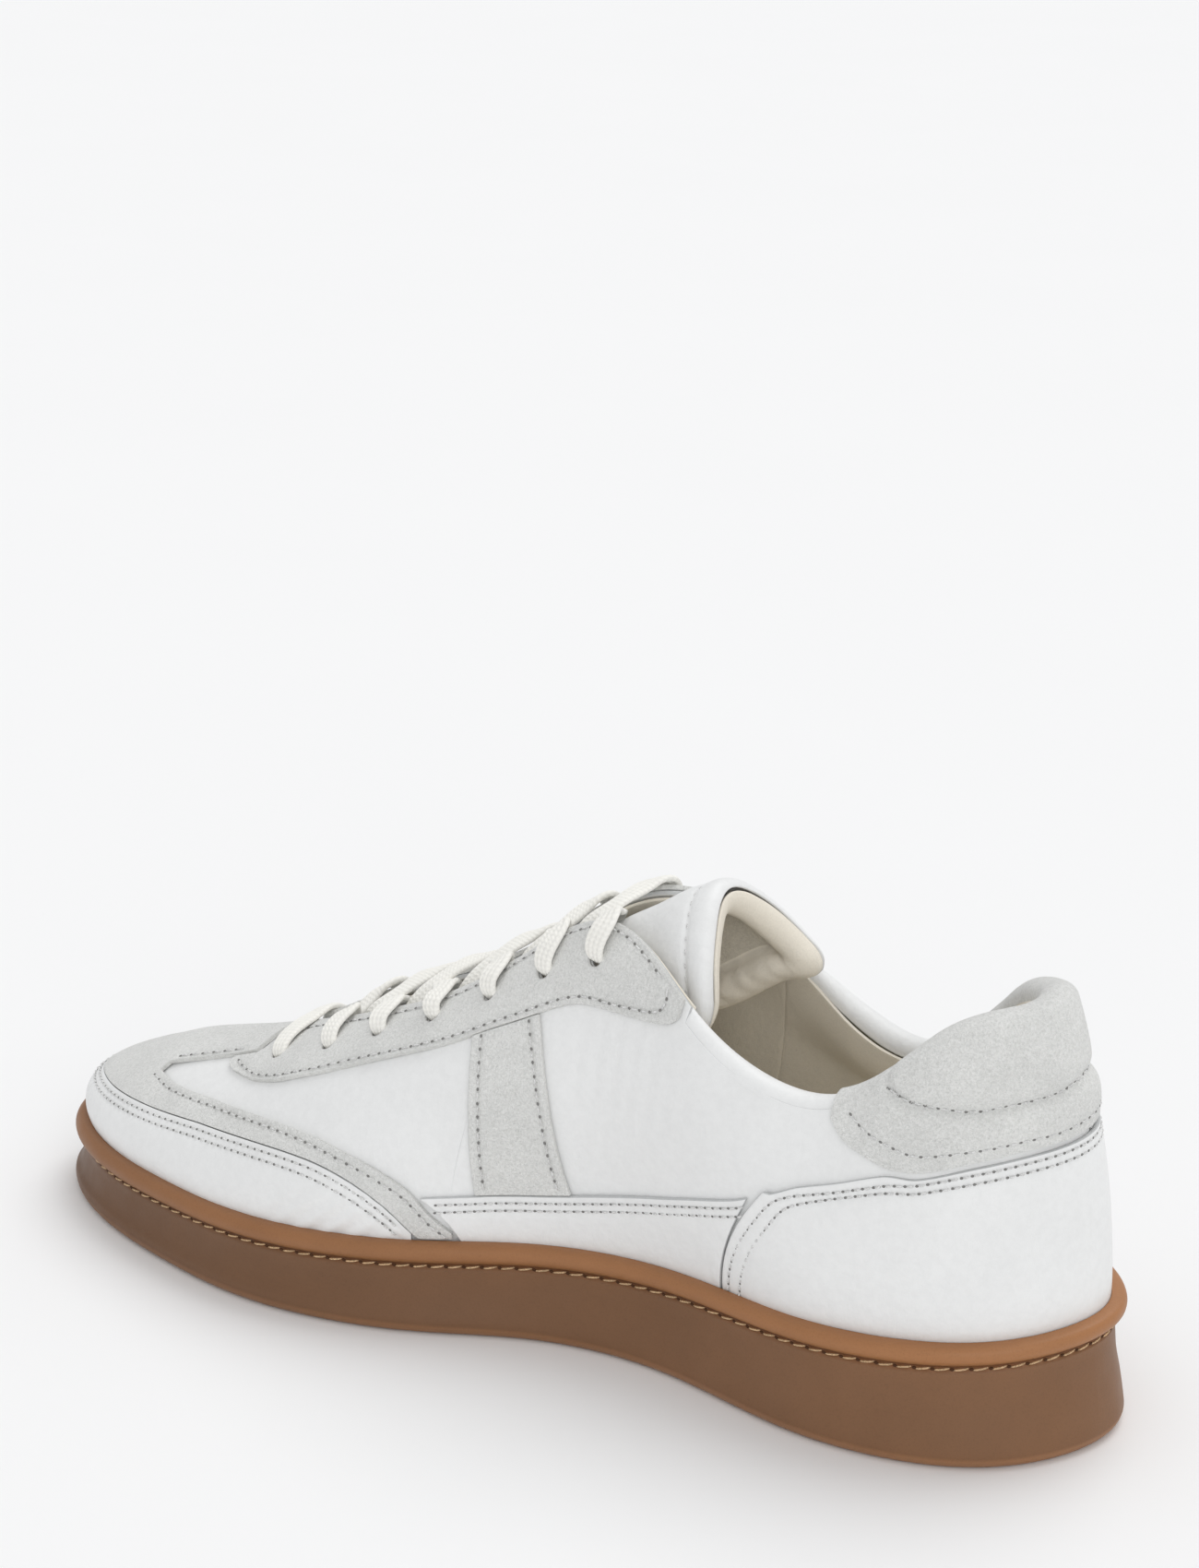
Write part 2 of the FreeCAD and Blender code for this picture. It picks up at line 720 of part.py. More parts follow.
def footbed():
    outline = skin_ring(-0.1, DEPTH_INSIDE + 3.0 * FIT_GAP)
    low = -TUCK + BOARD + 0.05
    return board_between(outline, low, low + FOOTBED)


# ---------------------------------------------------------------- tongue
# Along the tongue: crest (x, z), half width, arch height, half sweep in degrees,
# how far the outer side trails back, and the thickness share between seam and padded part.
TONGUE = [
    ((83.0, 45.2), 18.0, 8.0, 58.0, -1.0, 0.0),
    ((70.0, 50.2), 18.5, 16.0, 64.0, 0.0, 0.0),
    ((53.0, 62.5), 19.5, 25.0, 70.0, 0.0, 0.1),
    ((35.0, 72.8), 19.2, 32.0, 74.0, 0.0, 0.3),
    ((16.0, 83.2), 19.2, 35.0, 78.0, -1.0, 0.6),
    ((-2.0, 94.1), 19.2, 36.0, 80.0, -2.0, 0.9),
    ((-20.0, 105.4), 19.6, 36.0, 84.0, -4.0, 1.0),
    ((-34.0, 114.3), 20.6, 33.0, 88.0, -7.0, 1.0),
    ((-45.5, 119.6), 21.0, 33.0, 92.0, -10.0, 1.0),
]
TONGUE_COLUMNS = 11


def tongue_point(row, q, depth):
    (x, z), half, arch, sweep, trail, _ = TONGUE[row]
    angle = math.radians(sweep) * q
    ahead = TONGUE[max(row - 1, 0)][0]
    behind = TONGUE[min(row + 1, len(TONGUE) - 1)][0]
    slope = vec(behind[0] - ahead[0], 0, behind[1] - ahead[1]).normalize()
    up = vec(-slope.z, 0, slope.x)
    if up.z < 0:
        up = up * -1.0
    out = vec(0, math.sin(angle) / half, 0) + up * (math.cos(angle) / arch)
    out.normalize()
    crest = vec(x * STRETCH_X, 0, z * STRETCH_Z)
    spread = vec(0, half * STRETCH_Y * math.sin(angle), 0)
    fall = up * (-arch * (1.0 - math.cos(angle)))
    back = slope * (-trail * (1.0 - math.cos(angle)) * (1.0 - q) / 2.0)
    return crest + spread + fall + back - out * depth


def tongue_thickness(row):
    return mix(TONGUE_BASE, TONGUE_PAD, TONGUE[row][5])


def tongue_sheet(start, finish):
    top = []
    under = []
    for row in range(len(TONGUE)):
        near = start(row)
        far = finish(row)
        spread = [2.0 * k / (TONGUE_COLUMNS - 1.0) - 1.0 for k in range(TONGUE_COLUMNS)]
        top.append([tongue_point(row, q, near) for q in spread])
        under.append([tongue_point(row, q, far) for q in spread])
    return plate([(top, under)])


def tongue_cover():
    return tongue_sheet(lambda r: 0.0, lambda r: TONGUE_COVER)


def tongue_foam():
    return tongue_sheet(lambda r: TONGUE_COVER + LAYER_GAP,
                        lambda r: tongue_thickness(r) - TONGUE_LINING - LAYER_GAP)


def tongue_lining():
    return tongue_sheet(lambda r: tongue_thickness(r) - TONGUE_LINING, tongue_thickness)


# ---------------------------------------------------------------- lace
def hole_tools(side):
    tools = []
    for u, v in EYELETS:
        u = u if side > 0 else mirror_u(u)
        p = skin_point(u, v)
        n = skin_normal(u, v)
        tools.append(Part.makeCylinder(HOLE_RADIUS, 9.0, p + n * 2.0, n * -1.0))
    return tools


def punched(shape, sides):
    for side in sides:
        shape = shape.cut(hole_tools(side))
    return shape.Solids[0] if len(shape.Solids) == 1 else shape


def hole_spot(index, side, depth):
    u, v = EYELETS[index]
    u = u if side > 0 else mirror_u(u)
    return at_depth(u, v, depth), skin_normal(u, v)


def edge_spot(index, side, depth, v=1.0):
    u = EYELETS[index][0]
    u = u if side > 0 else mirror_u(u)
    p = skin_point(u, v)
    return p - skin_normal(u, 0.97) * depth


def lace_run(index, side, over):
    """From the hole on one side up through the throat and over to the next hole opposite."""
    under_depth = DEPTH_INSIDE + LACE_THICK / 2.0 + 0.15
    top_depth = -LACE_THICK / 2.0 - 0.35
    out = []
    low, n = hole_spot(index, side, under_depth)
    out.append((low, 0.72, n))
    out.append((edge_spot(index, side, under_depth + 0.3, 0.97), 0.9, n))
    nxt = index + 1
    far_n = hole_spot(nxt, -side, 0.0)[1]
    a = edge_spot(index, side, under_depth)
    b = edge_spot(nxt, -side, top_depth)
    crest = crest_height((a.x + b.x) / 2.0) + (5.0 if over else 2.7)
    out.append((vec(mix(a.x, b.x, 0.22), side * THROAT_RISE * abs(a.y), mix(a.z, crest, 0.5) + 0.3), 1.0,
                vec(0, side * 0.45, 1.0)))
    out.append((vec((a.x + b.x) / 2.0, 0, crest), 1.0, vec(0.3, 0, 1.0)))
    out.append((mix(vec((a.x + b.x) / 2.0, 0, crest), b, 0.6) + vec(0, 0, 0.9), 1.0,
                vec(0, -side * 0.3, 1.0)))
    out.append((b + far_n * 0.3, 1.0, far_n))
    end, n = hole_spot(nxt, -side, top_depth)
    out.append((mix(b, end, 0.66) + n * 0.9, 0.95, n))
    out += hole_pass(nxt, -side)
    return out


def crest_height(x):
    rows = [(-t[0][0], t[0][1]) for t in TONGUE]
    return along(rows, -x / STRETCH_X) * STRETCH_Z


def hole_pass(index, side):
    """The lace narrows and turns down through the punched hole."""
    p, n = hole_spot(index, side, 0.0)
    inner = (edge_spot(index, side, 0.0) - p).normalize()
    outward = inner * -1.0
    return [(p - n * 0.3 + inner * 0.2, 0.5, outward + n * 0.3),
            (p - n * 2.4, 0.42, outward),
            (p - n * 3.9, 0.5, outward - n * 0.2)]


TUCKED = [(4.93, 0.74), (4.9, 0.64), (4.86, 0.54), (4.8, 0.44)]


def tucked_run(side):
    """The lace past its last hole, held flat between the tongue and the lining."""
    depth = DEPTH_INSIDE + LACE_THICK / 2.0 + 0.45
    spots = []
    for u, v in TUCKED:
        u = u if side > 0 else mirror_u(u)
        spots.append((at_depth(u, v, depth), 0.9, skin_normal(u, v)))
    return spots


def lace_route():
    """From the tucked inner end down the throat to the straight bar and back up."""
    pairs = len(EYELETS)
    first = []
    second = []
    for i in range(pairs - 1):
        first += lace_run(i, 1 if i % 2 == 0 else -1, i % 2 == 0)
        second += lace_run(i, -1 if i % 2 == 0 else 1, i % 2 == 1)
    bar = []
    top_depth = -LACE_THICK / 2.0 - 0.15
    for side in (-1, 1):
        p, n = hole_spot(0, side, top_depth)
        e = edge_spot(0, side, top_depth - 0.2)
        near = mix(p, e, 0.36) + n * 0.8
        spots = [(near, 0.95, n), (e, 1.0, n)]
        bar += hole_pass(0, side)[::-1] + spots if side < 0 else spots[::-1] + hole_pass(0, side)
    second += tucked_run(1 if pairs % 2 == 0 else -1)
    first += tucked_run(-1 if pairs % 2 == 0 else 1)
    return second[::-1] + bar + first


def ribbon(route):
    rings = []
    for k, (p, share, normal) in enumerate(route):
        before = route[max(k - 1, 0)][0]
        after = route[min(k + 1, len(route) - 1)][0]
        run = (after - before).normalize()
        across = run.cross(normal).normalize()
        up = across.cross(run).normalize()
        if up.dot(normal) < 0:
            up = up * -1.0
            across = across * -1.0
        wide = LACE_WIDTH * share / 2.0
        thick = LACE_THICK / 2.0 * (1.0 + 0.25 * (1.0 - share))
        ring = []
        for m in range(8):
            angle = 2.0 * math.pi * m / 8.0
            c = math.cos(angle)
            s = math.sin(angle)
            ring.append(p + across * (wide * c) + up * (thick * s))
        if rings:
            ring = nearest_turn(rings[-1], ring)
        rings.append(ring)
    return rings


def nearest_turn(last, ring):
    n = len(ring)
    best = ring
    least = None
    for flip in (ring, ring[::-1]):
        for k in range(n):
            turned = flip[k:] + flip[:k]
            cost = sum((a - b).Length for a, b in zip(last, turned))
            if least is None or cost < least:
                least = cost
                best = turned
    return best


def lace():
    return tube_solid(ribbon(lace_route()))


# Free lace ends: corner points of straight runs joined by tangent arcs, inside the shoe.
LACE_END_RUN = {1: [(-14.0, 18.0, 3.6), (20.0, 12.0, 2.6), (52.0, 22.0, 2.6),
                    (80.0, 12.0, 2.6), (98.0, 9.0, 2.6)],
                -1: [(-22.0, -24.0, 3.6), (12.0, -30.0, 2.6), (46.0, -26.0, 2.6),
                     (78.0, -30.0, 2.6), (98.0, -23.0, 2.6)]}


def end_route(side):
    u, v = TUCKED[-1]
    depth = DEPTH_INSIDE + LACE_END_DIAMETER / 2.0 + 0.2
    u = u if side > 0 else mirror_u(u)
    start = at_depth(u, v - 0.03, depth)
    corners = [start]
    for x, y, lift in LACE_END_RUN[side]:
        corners.append(vec(x * STRETCH_X, y * STRETCH_Y,
                           rim_z(x * STRETCH_X) + FOOTBED - TUCK + BOARD + lift))
    return corners


def bend_radius(a, b, c):
    first = (b - a).Length
    second = (c - b).Length
    turn = (b - a).getAngle(c - b)
    return 0.45 * min(first, second) / math.tan(turn / 2.0)


def cord_wire(corners):
    edges = []
    start = corners[0]
    for a, b, c in zip(corners, corners[1:], corners[2:]):
        turn = (b - a).getAngle(c - b)
        radius = bend_radius(a, b, c)
        reach = radius * math.tan(turn / 2.0)
        p = b + (a - b).normalize() * reach
        q = b + (c - b).normalize() * reach
        inward = ((a - b).normalize() + (c - b).normalize()).normalize()
        middle = b + inward * (radius / math.cos(turn / 2.0) - radius)
        edges.append(Part.makeLine(start, p))
        edges.append(Part.Arc(p, middle, q).toShape())
        start = q
    edges.append(Part.makeLine(start, corners[-1]))
    return Part.Wire(edges)


def cord_solid(corners, diameter):
    wire = cord_wire(corners)
    run = (corners[1] - corners[0]).normalize()
    profile = Part.Wire([Part.makeCircle(diameter / 2.0, corners[0], run)])
    return wire.makePipeShell([profile], True, False)


def lace_end(side):
    return cord_solid(end_route(side), LACE_END_DIAMETER)


def aglet(side):
    route = end_route(side)
    tip = route[-1]
    run = (tip - route[-2]).normalize()
    sleeve = Part.makeCylinder(AGLET_DIAMETER / 2.0, AGLET_LENGTH, tip, run)
    return sleeve.makeFillet(0.6, [sleeve.Edges[0], sleeve.Edges[2]])


# ---------------------------------------------------------------- nodes
def build():
    nodes = {
        "cupsole": cupsole(),
        "sidewall_stitching": sidewall_stitching(),
        "midsole_filler": midsole_filler(),
        "strobel_board": strobel_board(),
        "footbed": footbed(),
        "vamp": punched(vamp(), (1, -1)),
        "vamp_lining": punched(vamp_lining(), (1, -1)),
        "toe_puff": toe_puff(),
        "toe_rand": toe_rand(),
        "toe_overlay": toe_overlay(),
        "heel_foxing": heel_foxing(),
        "heel_collar": heel_collar(),
        "heel_counter": heel_counter(),
        "collar_foam": collar_foam(),
        "tongue_cover": tongue_cover(),
        "tongue_foam": tongue_foam(),
        "tongue_lining": tongue_lining(),
        "lace": lace(),
    }
    for name, side in (("medial", 1), ("lateral", -1)):
        nodes["quarter_" + name] = punched(quarter(side), (side,))
        nodes["eyestay_" + name] = punched(eyestay(side), (side,))
        nodes["saddle_panel_" + name] = saddle_panel(side)
        nodes["foxing_" + name] = foxing(side)
        nodes["interlining_" + name] = interlining(side)
        collar, facing = quarter_lining(side)
        nodes["collar_lining_" + name] = collar
        nodes["facing_lining_" + name] = punched(facing, (side,))
        nodes["lace_end_" + name] = lace_end(side)
        nodes["aglet_" + name] = aglet(side)
    return nodes


def centred(nodes):
    """The frame's origin lies under the middle of the sole."""
    box = nodes["cupsole"].BoundBox
    middle = vec(-(box.XMin + box.XMax) / 2.0, -(box.YMin + box.YMax) / 2.0, 0)
    for shape in nodes.values():
        shape.translate(middle)
    return nodes


os.makedirs("parts", exist_ok=True)
for side in (1, -1):
    corners = end_route(side)
    radii = [round(bend_radius(*trio), 1) for trio in zip(corners, corners[1:], corners[2:])]
    print("lace end", side, "length", round(cord_wire(corners).Length, 1), "bend radii", radii)
for node, shape in centred(build()).items():
    shape.exportStep("parts/" + node + ".step")
    print(node, len(shape.Solids), shape.isValid(), round(shape.Volume, 1))
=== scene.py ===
import json
import math

import bmesh
import bpy
import numpy as np
from mathutils import Matrix, Vector, noise
from mathutils.bvhtree import BVHTree
from mathutils.kdtree import KDTree

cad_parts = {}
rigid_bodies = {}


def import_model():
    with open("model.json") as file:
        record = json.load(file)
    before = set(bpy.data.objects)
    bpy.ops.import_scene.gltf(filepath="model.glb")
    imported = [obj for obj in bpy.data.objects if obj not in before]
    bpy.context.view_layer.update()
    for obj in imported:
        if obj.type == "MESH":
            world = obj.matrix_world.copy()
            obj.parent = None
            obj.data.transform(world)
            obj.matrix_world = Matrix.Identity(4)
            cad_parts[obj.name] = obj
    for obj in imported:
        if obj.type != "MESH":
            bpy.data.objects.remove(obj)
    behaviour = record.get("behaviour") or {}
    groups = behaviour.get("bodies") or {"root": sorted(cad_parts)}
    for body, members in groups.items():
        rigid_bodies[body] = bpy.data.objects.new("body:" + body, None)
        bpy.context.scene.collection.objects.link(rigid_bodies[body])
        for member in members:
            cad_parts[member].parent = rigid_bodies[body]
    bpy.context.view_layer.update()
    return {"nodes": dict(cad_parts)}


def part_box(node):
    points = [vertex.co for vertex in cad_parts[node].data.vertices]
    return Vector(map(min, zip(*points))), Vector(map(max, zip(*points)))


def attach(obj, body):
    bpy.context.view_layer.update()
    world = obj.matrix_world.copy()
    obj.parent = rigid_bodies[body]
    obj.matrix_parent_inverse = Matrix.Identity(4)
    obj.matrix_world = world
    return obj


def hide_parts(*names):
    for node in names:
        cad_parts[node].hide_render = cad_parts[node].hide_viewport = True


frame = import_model()

MM = 0.001
GROOVE_MID, GROOVE_FALL, GROOVE_SAG = 18.9, 6.6, 1.4
RIM_HEIGHT, TUCK = 6.5, 6.0
OVERLAY, BASE, LINING = 1.2, 1.1, 0.8
DEPTH_BASE = 1.3
DEPTH_INSIDE = 4.1
COLLAR_PAD = 5.0
COLLAR_LINE = 0.94
FOLD_RISE = 4.6
LACE_WIDTH, LACE_THICK = 6.5, 1.8
HOLE_RADIUS = 2.2
SEAM_SINK, WELD = 0.3, 0.04
BOARD_THICK, FOOTBED_THICK, LACE_END_RADIUS = 1.8, 4.0, 1.8
CORNER, TONGUE_SEAM, TONGUE_BORDER = 9.0, 7.0, 8.5
TAG = {1: "medial", -1: "lateral"}
THROAT_RISE = 0.62
TURN, TOE, THROAT = 22, 11.0, 8.0

# Sole edge, top of the upper, shoulder and wall lean at the stations round the shoe.
STATIONS = [
    ((-150, 0), (-133, 0, 110.5), (-7, 0, -24), (0.5, 19)),
    ((-140.5, 22), (-128, 11, 108.5), (-5.5, 4, -23), (2, 19)),
    ((-118, 36.5), (-110.5, 24.5, 103), (-2, 8, -22), (4.5, 18)),
    ((-83, 38.8), (-86, 30.5, 85.3), (0, 7, -18), (4, 17)),
    ((-45, 30), (-53, 28.5, 96), (4, 9, -20), (4, 20)),
    ((-9, 32), (-20.5, 13, 109), (3, 13, -13), (3, 22)),
    ((23, 44.2), (16, 12, 85.8), (1, 15, -8), (2.5, 20)),
    ((60, 49.8), (53, 11, 67.7), (0, 18, -5), (2, 16)),
    ((92, 44.4), (80, 0, 55.4), (3, 19, -1), (2.5, 14)),
    ((119.5, 34.7), (103, 0, 49.2), (8, 16, -2.5), (3.5, 12)),
    ((140.5, 20.5), (117, 0, 44.2), (13, 10, -5.6), (4, 10)),
    ((150, 1), (122, 0, 42.3), (17, 0, -8), (4.5, 9)),
    ((140.5, -20.5), (117, 0, 44.2), (13, -8, -7.6), (4, 10)),
    ((119.5, -37.5), (103, 0, 49.2), (7, -13, -10.5), (3.5, 12)),
    ((92, -48.8), (80, 0, 55.4), (2, -14, -11.5), (2.5, 14)),
    ((60, -54), (53, -11, 67.7), (0, -16, -10), (2, 16)),
    ((23, -53.3), (16, -12, 85.8), (0, -18, -9), (2.5, 20)),
    ((-9, -49.4), (-20.5, -13, 109), (2, -15, -14), (3, 22)),
    ((-45, -44), (-55, -28, 94), (3, -9, -21), (4, 18)),
    ((-83, -40.4), (-88, -29.5, 78.5), (0, -8, -18), (4, 15)),
    ((-118, -35), (-112, -23.5, 98), (-3, -8, -21), (3.5, 17)),
    ((-140.5, -20.5), (-128, -11, 108.5), (-5.5, -4, -23), (1.5, 19)),
]
EYELETS = [(7.72, 0.76), (7.12, 0.82), (6.68, 0.865), (6.27, 0.88),
           (5.84, 0.86), (5.40, 0.83), (4.97, 0.85)]
TUCKED = [(4.93, 0.74), (4.9, 0.64), (4.86, 0.54), (4.8, 0.44)]
TONGUE = np.array([
    (83, 45.2, 18, 8, 58, -1, 0), (70, 50.2, 18.5, 16, 64, 0, 0),
    (53, 62.5, 19.5, 25, 70, 0, 0.1), (35, 72.8, 19.2, 32, 74, 0, 0.3),
    (16, 83.2, 19.2, 35, 78, -1, 0.6), (-2, 94.1, 19.2, 36, 80, -2, 0.9),
    (-20, 105.4, 19.6, 36, 84, -4, 1), (-34, 114.3, 20.6, 33, 88, -7, 1),
    (-45.5, 119.6, 21, 33, 92, -10, 1)], float)
RAND_TOP = [(5.85, 0.0), (6.1, 0.13), (6.4, 0.235), (6.75, 0.31), (7.2, 0.35), (8.0, 0.365),
            (8.7, 0.38), (9.4, 0.415), (10.2, 0.47), (11.0, 0.5)]
BAND_TOP = [(5.53, 0.0), (5.75, 0.09), (5.95, 0.19), (6.2, 0.27), (6.45, 0.335), (6.8, 0.41),
            (7.2, 0.455), (8.0, 0.485), (8.6, 0.53), (9.0, 0.6)]
STEM_EDGE = [(8.0, 0.77), (8.35, 0.735), (8.75, 0.695), (9.0, 0.66)]
EYESTAY_LOW = [(4.12, 0.96), (4.2, 0.885), (4.45, 0.79), (4.7, 0.735), (5.0, 0.705),
               (5.4, 0.68), (5.8, 0.695), (6.3, 0.718), (6.7, 0.71), (7.2, 0.66), (7.5, 0.625),
               (7.8, 0.615), (8.1, 0.645), (8.28, 0.7)]
FOXING_TOP = [(3.4, 0.5), (3.5, 0.462), (3.75, 0.385), (4.1, 0.29), (4.5, 0.215), (4.9, 0.175),
              (5.4, 0.165), (5.86, 0.165)]
HEEL_FOXING_TOP = [(0.0, 0.585), (1.0, 0.585), (1.6, 0.58), (2.1, 0.585), (2.4, 0.63),
                   (2.75, 0.64), (3.05, 0.62), (3.25, 0.56)]
HEEL_COLLAR_LOW = [(0.0, 0.6), (1.1, 0.6), (1.6, 0.595), (2.05, 0.6), (2.35, 0.645),
                   (2.6, 0.73), (2.78, 0.81), (2.9, 0.9), (2.95, 0.94)]
COLLAR_DIVIDE = [(0.0, 0.745), (0.6, 0.734), (1.22, 0.729), (1.7, 0.739), (2.17, 0.824),
                 (2.51, 0.98)]


# ---------------------------------------------------------------- camera
def aim(azimuth, elevation):
    a, e = math.radians(azimuth), math.radians(elevation)
    back = Vector((math.sin(a) * math.cos(e), -math.cos(a) * math.cos(e), math.sin(e)))
    right = Vector((math.cos(a), math.sin(a), 0.0))
    return right, back.cross(right), back


def camera():
    cam = bpy.data.cameras.new("camera")
    cam.lens = 72.19
    cam.sensor_width = 36.0
    cam.clip_start = 0.01
    cam.clip_end = 50.0
    obj = bpy.data.objects.new("camera", cam)
    right, up, back = aim(209.262, 19.867)
    m = Matrix((right, up, back)).transposed().to_4x4()
    m.translation = Vector((-0.360, 0.6257, 0.3961))
    obj.matrix_world = m
    bpy.context.scene.collection.objects.link(obj)
    bpy.context.scene.camera = obj


camera()


# ---------------------------------------------------------------- shape of the last
def closed_controls(rows):
    n = len(rows)
    one = np.eye(n)
    return np.linalg.solve((4 * one + np.roll(one, 1, 0) + np.roll(one, -1, 0)) / 6, rows)


GUIDES = [closed_controls(np.array([list(s[k]) + [0] * (3 - len(s[k])) for s in STATIONS], float))
          for k in range(4)]


def guide(column, u):
    cell = np.floor(u).astype(int)
    t = (u - cell)[..., None]
    w = [(1 - t) ** 3 / 6, (3 * t ** 3 - 6 * t * t + 4) / 6,
         (-3 * t ** 3 + 3 * t * t + 3 * t + 1) / 6, t ** 3 / 6]
    return sum(GUIDES[column][(cell + k - 1) % TURN] * w[k] for k in range(4))


def unit(a):
    return a / np.maximum(np.linalg.norm(a, axis=-1, keepdims=True), 1e-12)


def sole_out(u):
    d = guide(0, u + 0.01) - guide(0, u - 0.01)
    return unit(np.stack([-d[..., 1], d[..., 0], 0 * u], -1))


def groove_z(x):
    s = x / 150.0
    return GROOVE_MID - GROOVE_FALL * s + GROOVE_SAG * s * s


def rim_z(x):
    return groove_z(x) + RIM_HEIGHT + 0.3 * x / 150.0


def on_ridge(u):
    r = u % TURN
    return (r >= THROAT) & (r <= TURN - THROAT)


def skin(u, v):
    u, v = np.broadcast_arrays(np.asarray(u, float), np.asarray(v, float))
    out = sole_out(u)
    foot = guide(0, u) - out * 3.9
    foot = np.stack([foot[..., 0], foot[..., 1], rim_z(foot[..., 0])], -1)
    lean = guide(3, u)
    wall = foot + out * lean[..., :1]
    wall[..., 2] += lean[..., 1]
    ridge = on_ridge(u)
    folded = np.where(ridge, np.minimum(u % TURN, TURN - u % TURN), u)
    top = guide(1, folded)
    top[..., 1] = np.where(ridge, 0.0, top[..., 1])
    shoulder = top + guide(2, u)
    low = (v < 0)[..., None]
    b = np.clip(v, 0, 1)[..., None]
    a = 1 - b
    p = foot * a ** 3 + wall * (3 * b * a * a) + shoulder * (3 * b * b * a) + top * b ** 3
    tucked = foot + (wall - foot) / lean[..., 1:2] * (v[..., None] * 10.0 * TUCK)
    return np.where(low, tucked, p)


def side_normal(u, v):
    du = skin(u + 0.02, v) - skin(u - 0.02, v)
    dv = skin(u, np.minimum(v + 0.002, 1)) - skin(u, np.minimum(v, 1) - 0.002)
    dv = np.where((v < 0)[..., None], skin(u, 0 * v) - skin(u, 0 * v - 0.1), dv)
    return unit(np.cross(dv, du))


def skin_normal(u, v):
    u, v = np.broadcast_arrays(np.asarray(u, float), np.asarray(v, float))
    n = side_normal(u, v)
    near = ((v > 0.998) & on_ridge(u))[..., None]
    shared = side_normal(u, 0 * v + 0.99) + side_normal(TURN - u, 0 * v + 0.99)
    shared[..., 1] = 0.0
    return np.where(near, unit(shared), n)


def at_depth(u, v, depth):
    depth = np.asarray(depth, float)
    return skin(u, v) - skin_normal(u, v) * (depth[..., None] if depth.ndim else depth)


def smooth(x):
    x = np.clip(x, 0, 1)
    return x * x * (3 - 2 * x)


def on_side(u, side):
    """Station on the medial side (1), or its mirror on the lateral side (-1)."""
    return u if side > 0 else TURN - u


def round_heel(u):
    u = np.asarray(u, float) % TURN
    return np.minimum(u, TURN - u)


def pad(u, v):
    along = 1 - smooth((round_heel(u) - 3.3) / 1.1)
    return COLLAR_PAD * along * smooth((v - 0.5) / 0.3)


def line(points):
    """Smooth curve through given points, as a function of the first value."""
    t = np.array([p[0] for p in points], float)
    y = np.array([p[1] for p in points], float)
    m = np.empty_like(y)
    m[1:-1] = (y[2:] - y[:-2]) / (t[2:] - t[:-2])
    m[0] = (y[1] - y[0]) / (t[1] - t[0])
    m[-1] = (y[-1] - y[-2]) / (t[-1] - t[-2])

    def value(x):
        x = np.clip(np.asarray(x, float), t[0], t[-1])
        k = np.clip(np.searchsorted(t, x, "right") - 1, 0, len(t) - 2)
        h = t[k + 1] - t[k]
        s = (x - t[k]) / h
        return ((2 * s ** 3 - 3 * s * s + 1) * y[k] + (s ** 3 - 2 * s * s + s) * h * m[k]
                + (3 * s * s - 2 * s ** 3) * y[k + 1] + (s ** 3 - s * s) * h * m[k + 1])
    return value


def folded_line(points):
    f = line(points)
    return lambda u: f(np.minimum(u, TURN - np.asarray(u, float)))


rand_top = folded_line(RAND_TOP)
band_top = folded_line(BAND_TOP)
stem_edge = folded_line(STEM_EDGE)
eyestay_low = line(EYESTAY_LOW)
foxing_top = line(FOXING_TOP)
heel_foxing_top = line(HEEL_FOXING_TOP)
heel_collar_low = line(HEEL_COLLAR_LOW)
collar_divide = line(COLLAR_DIVIDE)

sole_low, sole_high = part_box("cupsole")
ring = guide(0, np.linspace(0, TURN, 2201))
SHIFT = np.array([(sole_low.x + sole_high.x) / 2 / MM - (ring[:, 0].min() + ring[:, 0].max()) / 2,
                  (sole_low.y + sole_high.y) / 2 / MM - (ring[:, 1].min() + ring[:, 1].max()) / 2,
                  0.0])


def world(p):
    return (np.asarray(p, float) + SHIFT) * MM


